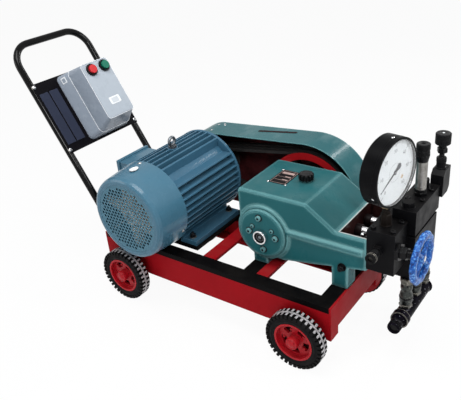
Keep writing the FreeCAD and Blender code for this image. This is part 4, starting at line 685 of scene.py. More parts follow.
class Shape:
    """A mesh of turned, extruded and swept forms in millimetres, each with its own finish."""

    def __init__(self, name):
        self.name = name
        self.mesh = bmesh.new()
        self.keys = []

    def index(self, key):
        """Place of a finish in the mesh's list."""
        if key not in self.keys:
            self.keys.append(key)
        return self.keys.index(key)

    def skin(self, rings, key, capped=True, joined=False):
        """Joins rings of points into a surface."""
        rows = [[self.mesh.verts.new(p) for p in ring] for ring in rings]
        count = len(rows[0])
        pairs = list(zip(rows, rows[1:]))
        if joined:
            pairs.append((rows[-1], rows[0]))
        faces = []
        for low, high in pairs:
            for i in range(count):
                j = (i + 1) % count
                faces.append(self.mesh.faces.new((low[i], low[j], high[j], high[i])))
        if capped:
            faces.append(self.mesh.faces.new(rows[0][::-1]))
            faces.append(self.mesh.faces.new(rows[-1]))
        index = self.index(key)
        for face in faces:
            face.material_index = index
        return faces

    def lathe(self, at, profile, key, count, joined=False):
        """Turns (radius, height) points about the frame's z axis; a count of 6 makes a hexagon."""
        self.taper(at, [(circle(radius, count), height) for radius, height in profile], key, joined)

    def ring(self, at, inner, outer, low, high, key, count=48):
        """Ring of a square section about the frame's z axis."""
        self.lathe(at, [(inner, low), (outer, low), (outer, high), (inner, high)], key, count, joined=True)

    def prism(self, at, outline, low, high, key, edge=0.0):
        """Extrudes an outline along the frame's z axis, with its edges rounded if edge is given."""
        faces = self.taper(at, [(outline, low), (outline, high)], key)
        if edge:
            lines = list(dict.fromkeys(line for face in faces for line in face.edges))
            bmesh.ops.bevel(self.mesh, geom=lines, offset=edge, segments=2, affect="EDGES", profile=0.5)

    def taper(self, at, outlines, key, joined=False):
        """Joins several (outline, height) levels."""
        rings = [[at @ Vector((x, y, z)) for x, y in outline] for outline, z in outlines]
        return self.skin(rings, key, capped=not joined, joined=joined)

    def tube(self, path, radius, key, count, closed=False, level=None):
        """Sweeps a circle along points; radius may be one for each point, and level trims both ends flat."""
        path = [Vector(p) for p in path]
        last = len(path) - 1
        side = None
        rings = []
        for i, point in enumerate(path):
            ahead = path[(i + 1) % len(path)] if closed or i < last else point
            behind = path[i - 1] if closed or i > 0 else point
            along = (ahead - behind).normalized()
            if side is None:
                side = along.orthogonal().normalized()
            side = (side - along * along.dot(side)).normalized()
            across = along.cross(side)
            size = radius[i] if isinstance(radius, list) else radius
            rings.append([point + side * x + across * y for x, y in circle(size, count)])
        if level is not None:
            for end, along in ((0, path[1] - path[0]), (-1, path[-2] - path[-1])):
                rings[end] = [p + along * ((level - p.z) / along.z) for p in rings[end]]
        self.skin(rings, key, capped=not closed, joined=closed)

    def fluted(self, at, levels, teeth, key):
        """Turned form with grip ribs: levels are (radius, height, groove depth)."""
        rings = []
        for radius, height, depth in levels:
            ring = []
            for i in range(teeth):
                for share, drop in ((0.0, 0), (0.35, 0), (0.5, depth), (0.85, depth)):
                    x, y = polar(radius - drop, 360 * (i + share) / teeth)
                    ring.append(at @ Vector((x, y, height)))
            rings.append(ring)
        self.skin(rings, key)

    def hex_head(self, at, across, height, key, washer, washer_key=None):
        """Hexagon head with a chamfered top, on a round washer if one is given."""
        corner = across / math.sqrt(3)
        if washer:
            rim = [(corner * 1.25, 0), (corner * 1.32, 0.3), (corner * 1.3, washer)]
            self.lathe(at, rim, washer_key or key, 24)
        head = [(corner, washer), (corner, washer + height * 0.86), (corner * 0.86, washer + height)]
        self.lathe(at, head, key, 6)

    def socket_head(self, at, radius, height, key):
        """Cap screw with a round head; its hexagon socket is a flat dark hexagon on top, painted shade."""
        self.lathe(at, [(radius, 0), (radius, height - radius * 0.12), (radius * 0.86, height)], key, 24)
        # Flat dark hexagon: painted shade of the socket.
        self.lathe(at, [(radius * 0.5, height - 0.05), (radius * 0.5, height + 0.06)], "socket", 6)

    def pan_head(self, at, radius, height, key):
        """Domed screw head; its cross is dark bars on top, painted shade."""
        self.lathe(at, [(radius, 0), (radius, height * 0.3), (radius * 0.86, height * 0.65),
                        (radius * 0.55, height * 0.92), (radius * 0.2, height)], key, 20)
        arm, half = radius * 0.55, radius * 0.11
        cut = rectangle(-arm, -half, arm, half)
        # Dark cross bars: painted shade.
        for turn in (0, 90):
            self.prism(spun(at, turn), cut, height * 0.9, height * 1.02, "socket")

    def number(self, at, text, height, key):
        """Sets a number flat on a face, centred on the frame's origin."""
        curve = bpy.data.curves.new("number", "FONT")
        curve.body = text
        curve.size = height
        curve.align_x = "CENTER"
        curve.align_y = "CENTER"
        item = bpy.data.objects.new("number", curve)
        data = bpy.data.meshes.new_from_object(item)
        points = [self.mesh.verts.new(at @ v.co) for v in data.vertices]
        for polygon in data.polygons:
            face = self.mesh.faces.new([points[i] for i in polygon.vertices])
            face.material_index = self.index(key)
        bpy.data.objects.remove(item)
        bpy.data.curves.remove(curve)
        bpy.data.meshes.remove(data)

    def done(self, slot, body="trolley", instead=(), soft=32):
        """Makes the object, which rides on a body and may stand for CAD nodes."""
        bmesh.ops.recalc_face_normals(self.mesh, faces=self.mesh.faces)
        bmesh.ops.scale(self.mesh, vec=(MM, MM, MM), verts=self.mesh.verts)
        data = bpy.data.meshes.new(self.name)
        self.mesh.to_mesh(data)
        self.mesh.free()
        for key in self.keys:
            data.materials.append(MAT[key])
        data.polygons.foreach_set("use_smooth", [True] * len(data.polygons))
        data.set_sharp_from_angle(angle=math.radians(soft))
        item = bpy.data.objects.new(self.name, data)
        bpy.context.scene.collection.objects.link(item)
        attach(item, body)
        if instead:
            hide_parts(*instead)


# Wheels


def centre_of(node):
    low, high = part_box(node)
    return (Vector(low) + Vector(high)) / 2 / MM


def tyre(end, side):
    """Black tyre with a round centre rib and staggered lugs that wrap over its shoulders; the pale rib and
    lug tops are a painted highlight.
    """
    at = axes(centre_of(f"{end}_wheel_{side}_tyre"), FAR, AHEAD)
    shape = Shape(f"{end}_{side}_tyre")
    half = [(50.0, 14.0), (53.5, 15.3), (56.0, 15.6), (56.8, 16.4), (58.6, 16.4), (59.4, 15.6), (64.0, 15.2),
            (68.0, 13.6), (69.2, 11.0), (69.2, 3.6), (74.2, 2.9)]
    profile = half + [(radius, -place) for radius, place in half[::-1]]
    shape.lathe(at, profile, "tread", 96, joined=True)
    # Pale strip round the centre rib: painted highlight.
    shape.lathe(at, [(74.0, -2.6), (74.9, -1.9), (74.9, 1.9), (74.0, 2.6)], "lug", 96, joined=True)
    lug = [(68.0, 2.5), (74.7, 2.5), (74.7, 13.6), (72.6, 16.6), (65.5, 16.8), (65.0, 13.0)]
    lug_count, stagger = 36, 0.25
    for i in range(lug_count):
        for way in (-1, 1):
            local = spun(at, 360 / lug_count * (i + way * stagger)) @ axes((0, 0, 0), FAR, AHEAD)
            view = [(radius, -way * place) for radius, place in lug]
            foot = [(radius - 0.4, place) for radius, place in view]
            shape.taper(local, [(foot, -3.7), (view, -2.9), (view, 2.9), (foot, 3.7)], "tread")
            # Pale lug tops: painted highlight.
            shape.prism(local, rectangle(74.65, -way * 3.2, 74.85, -way * 13.2), -2.7, 2.7, "lug")
    shape.done("tyre_rubber", f"{end}_wheel_{side}", [f"{end}_wheel_{side}_tyre"], soft=28)


def wheel_dress(end, side):
    """Pressed red disc inside each wheel, the cap over its axle and the rivets of its boss."""
    at = axes(centre_of(f"{end}_wheel_{side}_hub"), NEAR if side == "near" else FAR, AHEAD)
    shape = Shape(f"{end}_{side}_wheel_back")
    shape.lathe(at, [(13.5, -8.0), (19.0, -5.2), (44.8, -5.2), (44.8, -6.6), (20.0, -6.6), (13.5, -9.4)],
                "wheel_shadow", 48, joined=True)
    shape.lathe(at, [(13.5, -17.4), (40.0, -17.4), (62.0, -17.3), (70.0, -17.3), (70.0, -18.3), (62.0, -18.8),
                     (40.0, -20.4), (13.5, -20.4)], "wheel_red", 64, joined=True)
    shape.ring(at, 13.5, 16.0, -8.0, -18.0, "wheel_red", 32)
    for rivet in spread(at, 29, 4.0, range(36, 360, 72)):
        shape.lathe(rivet, [(3.6, 0), (3.4, 0.9), (2.2, 1.6), (0.8, 1.8)], "wheel_red", 14)
    cap = [(15.6, 14.5), (15.6, 20.0), (14.4, 22.4), (13.0, 22.8), (12.0, 21.8), (9.0, 21.8), (8.2, 23.4),
           (5.4, 24.2), (1.5, 24.5)]
    shape.lathe(at, cap, "wheel_red", 40)
    shape.done("wheel_red", f"{end}_wheel_{side}")


# Motor


def grille():
    """Perforated disc behind the cowl's opening: a hexagon of sheet round each hole."""
    shape = Shape("cowl_mesh")
    at = axes((MOTOR.x, -224.0, MOTOR.z), NEAR, AHEAD)
    pitch, hole, reach, thick = 10.5, 3.8, 84.0, 1.2
    step = pitch * math.sqrt(3) / 2
    outer = []
    for turn in range(30, 390, 60):
        first, second = (Vector(polar(pitch / math.sqrt(3), angle)) for angle in (turn, turn + 60))
        outer += [first, (first + second) / 2]
    inner = [p.normalized() * hole for p in outer]
    rows = int(reach / step) + 3
    for row in range(-rows, rows + 1):
        for column in range(-rows, rows + 1):
            spot = Vector((pitch * (column + (row % 2) / 2), step * row))
            if spot.length > reach + 9:
                continue
            face, edge, deep = ([at @ Vector((*(spot + p), height)) for p in ring]
                                for ring, height in ((outer, thick), (inner, thick), (inner, 0)))
            if spot.length > reach:
                shape.mesh.faces.new([shape.mesh.verts.new(p) for p in face])
            else:
                shape.skin([face, edge, deep], "grille", capped=False)
    shape.ring(at, reach + 4.0, 98.5, thick - 0.9, thick - 0.1, "grille", 72)
    shape.done("blue_paint", instead=["cowl_grille"], soft=40)


def fan():
    """Motor shaft and the moulded fan, coloured paler than it is as painted light, whose straight blades show
    through the grille.
    """
    shape = Shape("motor_fan")
    at = axes((MOTOR.x, -210.0, MOTOR.z), FAR, AHEAD)
    shape.lathe(at, [(13.9, 0.5), (13.9, 412.0), (13.0, 413.0)], "steel", 48)
    hub = [(14.0, -6.0), (20.0, -6.0), (21.8, -4.4), (21.8, 32.0), (14.0, 33.5)]
    shape.lathe(at, hub, "fan_grey", 48, joined=True)
    blade_count, first, tip, depth, thin = 6, 36.0, 89.0, 33.0, 2.0
    outline = [(20.0, 6.0), (70.0, 6.5), (tip - 4.0, 2.0), (tip, -4.0), (tip, -depth), (20.0, -depth)]
    for i in range(blade_count):
        blade = spun(at, -(first + 360 / blade_count * i)) @ axes((0, 0, 0), FAR, AHEAD)
        shape.prism(blade, outline, -thin / 2, thin / 2, "fan_grey", 0.5)
    shape.lathe(at, [(20.5, 30.5), (66.0, 31.5), (66.0, 33.0), (20.5, 33.0)], "fan_grey", 64, joined=True)
    shape.done("steel", "drive_rotor", ["motor_rotor"])


def end_ring():
    """Round flange that closes the fins at the drive end."""
    shape = Shape("frame_end_ring")
    shape.lathe(axes(MOTOR, FAR, AHEAD), [(96.0, 104.0), (112.0, 104.8), (117.0, 106.0), (118.6, 108.4),
                                          (118.6, 112.5), (117.0, 114.0), (103.0, 116.5), (96.0, 116.5)],
                "blue_cast", 96, joined=True)
    shape.done("blue_paint")


def cowl_details():
    """Fixing screws and the bare oval plate of the cowl."""
    shape = Shape("cowl_details")
    for angle in (95.5, -24.5, 215.5):
        x, z = polar(1.0, angle)
        out = Vector((x, 0, z))
        at = axes(MOTOR + out * COWL_RADIUS + Vector((0, -138, 0)), out)
        shape.pan_head(at, 4.6, 2.8, "chrome")
        shape.lathe(at, [(6.2, 0), (6.4, 0.4), (6.2, 0.9)], "zinc", 20)
    oval_y, oval_round, oval_along, draft = -172.0, 9.5, 13.5, 0.004
    levels = [(1.0, 118.2)] + [(share, 119.6 + 0.25 * (1 - share)) for share in (1.0, 0.93, 0.5, 0.1)]
    rings = []
    for share, lift in levels:
        ring = []
        for x, y in circle(share, 40):
            along = oval_y + oval_along * y
            turn = 90 + math.degrees(oval_round * x / 119.0)
            out_x, out_z = polar(lift + (along + 128) * draft, turn)
            ring.append(MOTOR + Vector((out_x, along, out_z)))
        rings.append(ring)
    shape.skin(rings, "label")
    shape.done("blue_paint")


def motor_bolts():
    """Bolts of the motor feet, the end shield and the lid of the terminal box, and its cable gland."""
    shape = Shape("motor_bolts")
    for x in (MOTOR.x - 95, MOTOR.x + 95):
        for y in (-90, 74):
            at = axes((x, y, MOTOR_FOOT_TOP), UP)
            shape.hex_head(at, 13, 8, "dark_steel", 2, "zinc")
            shape.lathe(at, [(4, 9), (4, 14), (3.4, 15)], "dark_steel", 16)
    for angle in (38, 142, 218, 322):
        x, z = polar(84, angle)
        shape.hex_head(axes(MOTOR + Vector((x, 130.5, z)), FAR), 10, 5.5, "dark_steel", 1.2, "zinc")
    for y in (-100, 2):
        for z in (318, 370):
            shape.pan_head(axes((-263, y, z), REAR), 3.6, 2.4, "zinc")
    shape.done("steel")
    gland = Shape("cable_gland")
    at = axes((-222, -104, 334), NEAR)
    gland.lathe(at, [(15, -0.5), (15, 7.5), (13.4, 8.4)], "black_plastic", 6)
    collar = [(12.4, 8), (12.4, 17), (10.5, 20), (8.0, 21), (8.0, 19.0), (6.0, 19.0)]
    gland.lathe(at, collar, "black_plastic", 24)
    gland.done("black_plastic")


# Belt drive


def guard_details():
    """Screws and the slot on the belt guard's sloping band; the slot is a flat dark patch in a teal rim,
    painted shade.
    """
    shape = Shape("guard_details")
    along, normal = Vector((0.9978, 0, 0.0669)), Vector((-0.0669, 0, 0.9978))
    band_end = Vector((176, 0, 411.7))
    arc_end, arc_radius = -135.8, 101.0

    def on_band(x, y):
        return band_end + along * (x - band_end.x) / along.x + Vector((0, y, 0))

    for x, y in ((-143, 203), (-120, 203), (-135, 158), (-127, 211)):
        out, spot = normal, on_band(x, y)
        if x < arc_end:
            out = (on_band(x, 0) - MOTOR).normalized()
            spot = MOTOR + out * arc_radius + Vector((0, y, 0))
        shape.pan_head(axes(spot, out, FAR), 3.4, 1.6, "chrome")
    half_length, half_width = 59.0, 6.0
    # Flat dark slot in a teal rim: the dark is painted shade.
    for half, lift, key in ((half_width + 1.2, 0.25, "teal"), (half_width, 0.32, "slot")):
        outline = rounded(-half_length, -half, half_length, half, half - 0.05, 8)
        shape.prism(axes(on_band(66, 195), normal, (103, 14, 7)), outline, -0.2, lift, key)
    shape.done("teal_paint")


def pulley_dress():
    """Hub screws of the big pulley."""
    shape = Shape("pulley_face")
    at = axes((CRANK.x, 143.9, CRANK.z), NEAR)
    for screw in spread(at, 21, 0, (30, 150, 270)):
        shape.socket_head(screw, 4.5, 4.0, "dark_steel")
    shape.done("wheel_red", "pump_rotor")


# Pump


def cover_details():
    """Bolts of the crank bearing cover and the sight glass in its middle."""
    shape = Shape("bearing_cover_bolts")
    main = ((-5, 43), (4, -42), (-35, 1), (40, -2))
    small = ((-25, 16), (30, 15))
    for places, across, height in ((main, 12, 6.0), (small, 8.5, 4.0)):
        for x, z in places:
            at = axes(CRANK + Vector((x, 0, z)), NEAR)
            # Dark disc round each bolt head: painted shade.
            shape.lathe(at, [(across * 0.80, 0), (across * 0.80, 0.4)], "slot", 24)
            shape.socket_head(spun(at, 3 * x), across * 0.58, height, "teal_cast")
    shape.done("teal_paint")
    glass = Shape("oil_sight")
    at = axes((CRANK.x, -92.9, CRANK.z - 6), NEAR)
    glass.lathe(at, [(14.3, -0.2), (14.3, 0.9), (13.6, 1.3)], "sight", 40)
    glass.lathe(at, [(9.0, 1.2), (9.8, 1.2), (9.7, 1.7), (9.1, 1.7)], "dull", 36, joined=True)
    glass.lathe(at, [(4.4, 1.2), (4.2, 1.8), (3.0, 2.1)], "dull", 20)
    glass.lathe(at, [(13.3, 0.8), (14.45, 0.8), (14.45, 3.2), (13.9, 3.2)], "black_plastic", 40, joined=True)
    glass.lathe(moved(at, z=4.1), [(14.6, -0.6), (18.4, -0.6), (17.6, 0.1), (15.2, 0.1)], "chrome", 56,
                joined=True)
    glass.done("steel")


def oil_cap():
    """Black screw cap with grip ribs and a dished top."""
    shape = Shape("oil_cap")
    at = axes((246, 34, CASE_TOP), UP)
    shape.lathe(at, [(14.5, 0), (14.5, 1.2), (13.0, 1.6), (13.0, 4.4)], "teal_cast", 40)
    grip = [(17.6, 4, 2.4), (18.9, 5.4, 4.4), (18.9, 17.4, 4.4), (17.2, 19.2, 3.0), (14.0, 19.5, 0)]
    shape.fluted(at, grip, 11, "black_plastic")
    dish = [(15.4, 19.2), (15.2, 20.0), (12.6, 20.0), (11.8, 19.0), (0.6, 18.9), (0.6, 18.8), (15.0, 18.8)]
    shape.lathe(at, dish, "black_plastic", 40, joined=True)
    bar = axes((246, 34, CASE_TOP + 18.8), UP, (1, 0.5, 0))
    shape.prism(bar, rounded(-11, -3.2, 11, 3.2, 2.0), 0, 1.2, "black_plastic")
    shape.done("black_plastic", instead=["oil_filler_cap"])


def nameplate():
    """Bare plate with a silver frame and empty fields, held by four screws."""
    shape = Shape("pump_plate")
    half_x, half_y, inset, line = 24.0, 37.0, 3.2, 0.9
    at = axes((189, 25, CASE_TOP), UP)
    wide, tall = half_x - inset, half_y - inset
    shape.prism(at, rounded(-half_x, -half_y, half_x, half_y, 2.0), 0, 0.7, "plate")

    def field(x0, y0, x1, y1, top=0.8):
        shape.prism(at, rectangle(x0, y0, x1, y1), 0.6, top, "plate_edge")

    for side in (-1, 1):
        field(-wide, side * tall - line / 2, wide, side * tall + line / 2, 0.85)
        field(side * wide - line / 2, -tall, side * wide + line / 2, tall, 0.85)
    for y in (-0.5 * tall, 0.0):
        field(-wide + 2, y - 0.4, wide - 2, y + 0.4, 0.82)
        field(1, y + 2.0, wide - 4, y + 5.4)
    field(-wide + 4, 0.5 * tall, wide - 4, 0.82 * tall)
    for x in (-half_x - 1, half_x + 1):
        for y in (-half_y + 1, half_y - 1):
            shape.pan_head(moved(at, x, y), 3.0, 1.9, "chrome")
    shape.done("steel")


def case_details():
    """Foot bolts, drain plug and the machined rim of the plunger window."""
    shape = Shape("crankcase_details")
    drain = axes((396, -74, 227), NEAR)
    shape.lathe(drain, [(9.5, 0), (9.8, 0.6), (9.5, 1.8)], "dark_steel", 28)
    shape.hex_head(spun(drain, 12), 14, 8, "dark_steel", 1.8)
    shape.lathe(drain, [(5.0, 9), (5.0, 14), (4.0, 15)], "dark_steel", 18)
    for x in (184, 402):
        for y in (-54, 94):
            shape.hex_head(axes((x, y, DECK_TOP), UP), 13, 7, "dark_steel", 1.6, "zinc")
    rim = 2.6
    level = axes((0, 0, WINDOW_LEVEL), UP)
    for y in (WINDOW_NEAR - rim, WINDOW_FAR):
        shape.prism(level, rectangle(WINDOW_REAR + 1, y, 453.6, y + rim), -0.8, 0.35, "machined")
    back = rectangle(WINDOW_REAR - rim, WINDOW_NEAR - rim, WINDOW_REAR, WINDOW_FAR + rim)
    shape.prism(level, back, -0.8, 0.25, "machined")
    shape.done("teal_paint")


def plunger_details():
    """Bright ends of the plungers, dark sleeves behind them, gland nuts and the oiling ball."""
    shape = Shape("plunger_set")
    for y in (-32, 20, 72):
        at = axes((WINDOW_REAR, y, 276), AHEAD)
        shape.lathe(at, [(12.8, 0), (14.6, 1), (14.6, 15), (12.6, 17), (11.2, 17)], "grimy", 36)
        shape.lathe(at, [(11.0, 16), (11.0, 44)], "chrome", 36)
        nut = [(16.8, 0, 0.6), (18.6, 1.4, 2.4), (18.6, 12.0, 2.4), (17.4, 13.0, 1.2)]
        shape.fluted(moved(at, z=42), nut, 12, "dark_steel")
        shape.lathe(at, [(15.6, 54), (15.6, 61), (18.8, 61.4), (18.8, 68)], "grimy", 36)
        shape.lathe(at, [(11.2, 40.5), (13.4, 40.5), (13.0, 42.2), (11.2, 42.2)], "brass", 36, joined=True)
    ball = axes((430, -38, 295), (0, -0.25, 1))
    shape.lathe(ball, [(2.2, -8), (2.2, 7.0)], "chrome", 16)
    profile = [polar(5.6, angle) for angle in range(-70, 90, 20)]
    shape.lathe(ball, [(radius, 10.5 + height) for radius, height in profile], "chrome", 24)
    shape.done("steel", instead=["plungers"])


# Head, valves and gauge


def head_details():
    """Cap screws and plugs of the head blocks, and the threaded test outlet."""
    shape = Shape("head_screws")
    for x in (464, 508):
        for y in (-62, -14):
            shape.socket_head(axes((x, y, HEAD_TOP), UP), 6.2, 6.0, "dark_steel")
    for x, y in ((494, 52), (494, 104), (526, 56), (526, 112)):
        shape.socket_head(axes((x, y, VALVE_TOP), UP), 5.6, 5.0, "dark_steel")
    for y in (20, 123):
        shape.lathe(axes((508, y, VALVE_TOP), UP), [(15.5, 0), (15.8, 0.6), (15.5, 1.8)], "dark_steel", 36)
    shape.done("black_steel")
    outlet = Shape("outlet_thread")
    at = axes((481, -84, 298), NEAR)
    outlet.tube(helix(at, 9.3, 1.0, 15.4, 7, 20), 0.8, "dark_steel", 8)
    outlet.lathe(at, [(12.2, 29.0), (12.0, 30.0), (7.2, 30.0), (6.2, 29.0)], "dark_steel", 36, joined=True)
    for level in (20.0, 24.0):
        outlet.lathe(at, [(11.4, level - 1.0), (12.6, level), (11.4, level + 1.0)], "union_nut", 36)
    outlet.done("black_steel")


def gauge_dial(at):
    """White dial with its scale, numbers and coloured mark."""
    dial = Shape("gauge_dial")
    floor = 14.55
    dial.lathe(at, [(70.6, floor), (70.6, floor + 0.12)], "dial", 96)
    scale_start, scale_sweep, divisions = 225.0, 270.0, 60
    for i in range(divisions + 1):
        turn = scale_start - scale_sweep * i / divisions
        long_mark = i % 10 == 0
        inner, half = (57.5, 0.55) if long_mark else ((60.5, 0.32) if i % 5 == 0 else (62.0, 0.2))
        dial.prism(spun(at, turn), rectangle(inner, -half, 66.0, half), floor + 0.1, floor + 0.2, "ink")
        if long_mark:
            dial.number(moved(at, *polar(47.5, turn), floor + 0.2), str(i), 11.5, "ink")
    dial.prism(spun(at, -34.0), rectangle(31.0, -4.0, 39.0, 4.0), floor + 0.1, floor + 0.18, "amber")
    dial.ring(at, 20.0, 20.5, floor + 0.1, floor + 0.16, "ink", 64)
    dial.done("grey_plastic")


def gauge_bezel(at):
    """Rim of the gauge's case, its screws and the plug in its back."""
    case = Shape("gauge_bezel")
    case.lathe(at, [(70.9, 16.0), (73.0, 21.6), (75.6, 21.6), (75.9, 20.4), (75.9, 16.0)], "gauge_black", 96,
               joined=True)
    case.ring(at, 76.0, 76.25, 9.8, 11.0, "gauge_black", 96)
    for angle in (90.0, 210.0, 330.0):
        screw = at @ axes((*polar(75.6, angle), 8.0), (*polar(1.0, angle), 0))
        case.pan_head(screw, 3.4, 1.6, "chrome")
    back = at @ axes((0, 0, -21.4), (0, 0, -1), AHEAD)
    case.lathe(back, [(66.0, 0), (66.6, 0.6), (64.8, 0.6), (64.2, 0)], "gauge_black", 96, joined=True)
    case.lathe(moved(back, y=44), [(9.0, 0), (9.0, 1.6), (7.6, 2.6), (2.0, 2.8)], "rubber", 32)
    for screw in spread(back, 30, 0, (45, 135, 225, 315)):
        case.pan_head(screw, 2.8, 1.6, "zinc")
    case.done("black_steel")


def gauge_pointer(at):
    """Needle, counterweight and hub that ride on the pointer."""
    hub = Shape("pointer_hub")
    level = 15.3
    needle = [(3, -2.2), (50, -0.9), (57.5, -0.5), (57.5, 0.5), (50, 0.9), (3, 2.2)]
    tail = [(2.5, -2.2), (17.5, -6.8), (23.0, -5.6), (25.0, 0), (23.0, 5.6), (17.5, 6.8), (2.5, 2.2)]
    for outline, turn in ((needle, POINTER_TURN), (tail, POINTER_TURN + 180)):
        hub.prism(spun(at, turn), outline, level, level + 0.5, "needle")
    hub.lathe(at, [(4.8, 16.2), (4.8, 17.0), (3.2, 17.4), (1.0, 17.5)], "needle", 28)
    hub.lathe(at, [(2.2, 17.3), (2.2, 18.2), (1.0, 18.6)], "chrome", 18)
    hub.done("black_steel", "gauge_pointer")


def gauge():
    along, across = math.cos(GAUGE_TURN), math.sin(GAUGE_TURN)
    at = axes(GAUGE, (along, across, 0), (-across, along, 0))
    gauge_dial(at)
    gauge_bezel(at)
    gauge_pointer(at)


def gauge_stem():
    """Brass shank under the gauge, its blackened hexagon and the seal ring."""
    shape = Shape("gauge_stem")
    base = axes((GAUGE.x, GAUGE.y, HEAD_TOP), UP)
    shape.lathe(base, [(13.0, 0), (13.3, 0.6), (13.0, 2.0)], "umber", 32)
    shape.lathe(base, [(12.6, 2.0), (12.6, 26.4), (11.0, 28.0)], "umber", 6)
    shape.lathe(base, [(9.0, 27.5), (9.0, 34.0), (8.0, 34.6), (8.0, 44.0)], "umber", 28)
    shape.lathe(base, [(11.8, 44.0), (11.8, 53.5), (10.6, 54.8)], "brass", 6)
    shape.lathe(base, [(8.6, 54.5), (8.6, 56.9)], "brass", 28)
    shape.done("brass", instead=["gauge_fitting"])


def relief_details():
    """Knurled cap, brushed tube and knurled foot of the relief valve."""
    shape = Shape("relief_tube")
    at = axes(RELIEF, UP)
    shape.lathe(at, [(15.0, 0), (15.0, 8.0), (13.4, 9.0)], "dark_steel", 6)
    shape.fluted(at, [(12.8, 8.6, 0.4), (13.6, 9.6, 0.9), (13.6, 15.4, 0.9), (12.6, 16.6, 0.4)], 28,
                 "dark_steel")
    shape.lathe(at, [(12.4, 16), (12.4, 24), (12.0, 24.5), (12.0, 25.3), (12.4, 25.8), (12.4, 82.6)],
                "brushed", 48)
    shape.lathe(at, [(12.3, 82.0), (12.8, 84.0), (13.6, 89.0), (15.1, 95.0), (15.1, 97.0), (14.4, 97.8)],
                "dark_steel", 40)
    shape.fluted(at, [(14.5, 97.4, 0.4), (15.3, 98.4, 0.9), (14.7, 107.6, 0.9), (14.2, 108.6, 0.4)], 34,
                 "dark_steel")
    shape.lathe(at, [(13.8, 108.2), (13.8, 110.8)], "dark_steel", 40)
    shape.fluted(at, [(14.4, 110.2, 0.4), (15.3, 111.4, 0.9), (15.3, 122.8, 0.9), (14.0, 124.6, 0.5)], 34,
                 "dark_steel")
    shape.lathe(at, [(13.4, 124.2), (13.2, 125.0), (9.0, 125.0), (8.4, 124.0)], "dark_steel", 40)
    # Dark hexagon on the cap: painted shade of a socket.
    shape.lathe(at, [(4.6, 124.9), (4.6, 125.05)], "socket", 6)
    shape.done("steel", instead=["relief_valve"])


def adjuster_details():
    """Knurled knob, lock nut and threaded stem of the adjusting valve, and its body's ring and screw."""
    shape = Shape("adjusting_grip")
    at = axes(ADJUSTER, UP)
    shape.lathe(at, [(5.4, -68), (5.4, -14)], "chrome", 24)
    shape.tube(helix(at, 5.45, -27.0, 12.0, 14, 16), 0.5, "dark_steel", 6)
    shape.lathe(at, [(10.8, -16.0), (12.0, -14.6), (12.0, -5.4), (10.8, -4.0)], "dark_steel", 6)
    shape.lathe(at, [(8.6, -4.2), (9.3, -2.0), (9.3, 1.0), (13.0, 3.4), (16.2, 5.2)], "dark_steel", 40)
    shape.fluted(at, [(16.0, 5.0, 0.4), (17.5, 6.6, 0.9), (17.5, 17.6, 0.9), (16.8, 18.2, 0.3)], 40,
                 "dark_steel")
    shape.fluted(at, [(16.8, 18.2, 0.3), (17.5, 18.8, 0.9), (17.5, 29.8, 0.9), (16.2, 31.4, 0.5)], 40,
                 "dark_steel")
    shape.lathe(at, [(16.0, 31.0), (15.6, 31.9), (7.0, 31.9), (6.4, 31.2)], "dark_steel", 40)
    shape.lathe(at, [(2.6, 31.2), (2.6, 32.0)], "label", 18)
    shape.done("black_steel", "adjusting_knob", ["adjusting_knob"])
    body = Shape("adjusting_gland")
    gland = moved(at, z=-55)
    body.lathe(gland, [(11.6, 0), (12.0, 0.5), (12.0, 3.0), (11.0, 3.6)], "dark_steel", 36)
    body.fluted(gland, [(11.0, 16, 0.2), (11.5, 16.6, 0.7), (11.5, 25.4, 0.7), (10.9, 26.4, 0.3)], 24,
                "dark_steel")
    body.hex_head(axes((526, 170, 338), (0, 0, -1)), 12, 8, "dark_steel", 1.4)
    body.done("black_steel")


def hand_wheel():
    """Cast handwheel: a thick lobed rim, four spokes, a hub and the silver stem nut."""
    shape = Shape("hand_wheel")
    at = axes(HANDWHEEL, AHEAD, FAR)
    dice = random.Random(7)
    lobes, around, section, squareness = 12, 120, 20, 0.8
    dents = [dice.uniform(-0.25, 0.25) for _ in range(around)]
    rings = []
    for i in range(around):
        turn = 360 * i / around
        hollow = 0.5 - 0.5 * math.cos(math.radians(lobes * turn))
        dent = (dents[i] + dents[i - 1] + dents[i - 2]) / 3
        middle, wide, deep = 50.2 - 0.7 * hollow, 9.2 - 0.9 * hollow + dent, 7.2 - 0.5 * hollow
        ring = []
        for x, y in circle(1.0, section):
            x, y = (math.copysign(abs(part) ** squareness, part) for part in (x, y))
            ring.append(at @ Vector((*polar(middle + wide * x, turn), deep * y)))
        rings.append(ring)
    shape.skin(rings, "wheel_blue", capped=False, joined=True)
    spoke = ((6, 1), (22, 0.4), (34, 0), (46, 0))
    for turn in (45, 135, 225, 315):
        path = [at @ Vector((*polar(radius, turn), lift)) for radius, lift in spoke]
        shape.tube(path, [6.2, 4.6, 4.6, 6.0], "wheel_blue", 18)
    shape.lathe(at, [(11.0, -8.0), (12.0, -7.0), (12.0, 5.6), (10.4, 6.8)], "wheel_blue", 36)
    shape.hex_head(moved(at, z=6), 10.5, 1.2, "chrome", 0.5, "zinc")
    shape.lathe(moved(at, z=2), [(3.4, 0), (3.4, 5.7), (2.8, 5.95)], "chrome", 18)
    shape.lathe(at, [(5.0, -52.7), (5.0, -6.7)], "steel", 24)
    shape.done("blue_wheel", "handwheel", ["handwheel"])
    nut = Shape("stop_gland")
    gland = axes(STOP_VALVE, AHEAD)
    nut.lathe(moved(gland, z=36), [(5.3, -1.0), (9.6, -1.0), (9.6, 0.0), (8.6, 1.0), (5.3, 1.0)], "zinc", 28,
              joined=True)
    for level in (24.5, 27.5, 30.5, 33.5):
        nut.lathe(moved(gland, z=level), [(9.9, -0.9), (10.6, 0), (9.9, 0.9)], "dark_steel", 32)
    nut.done("black_steel")


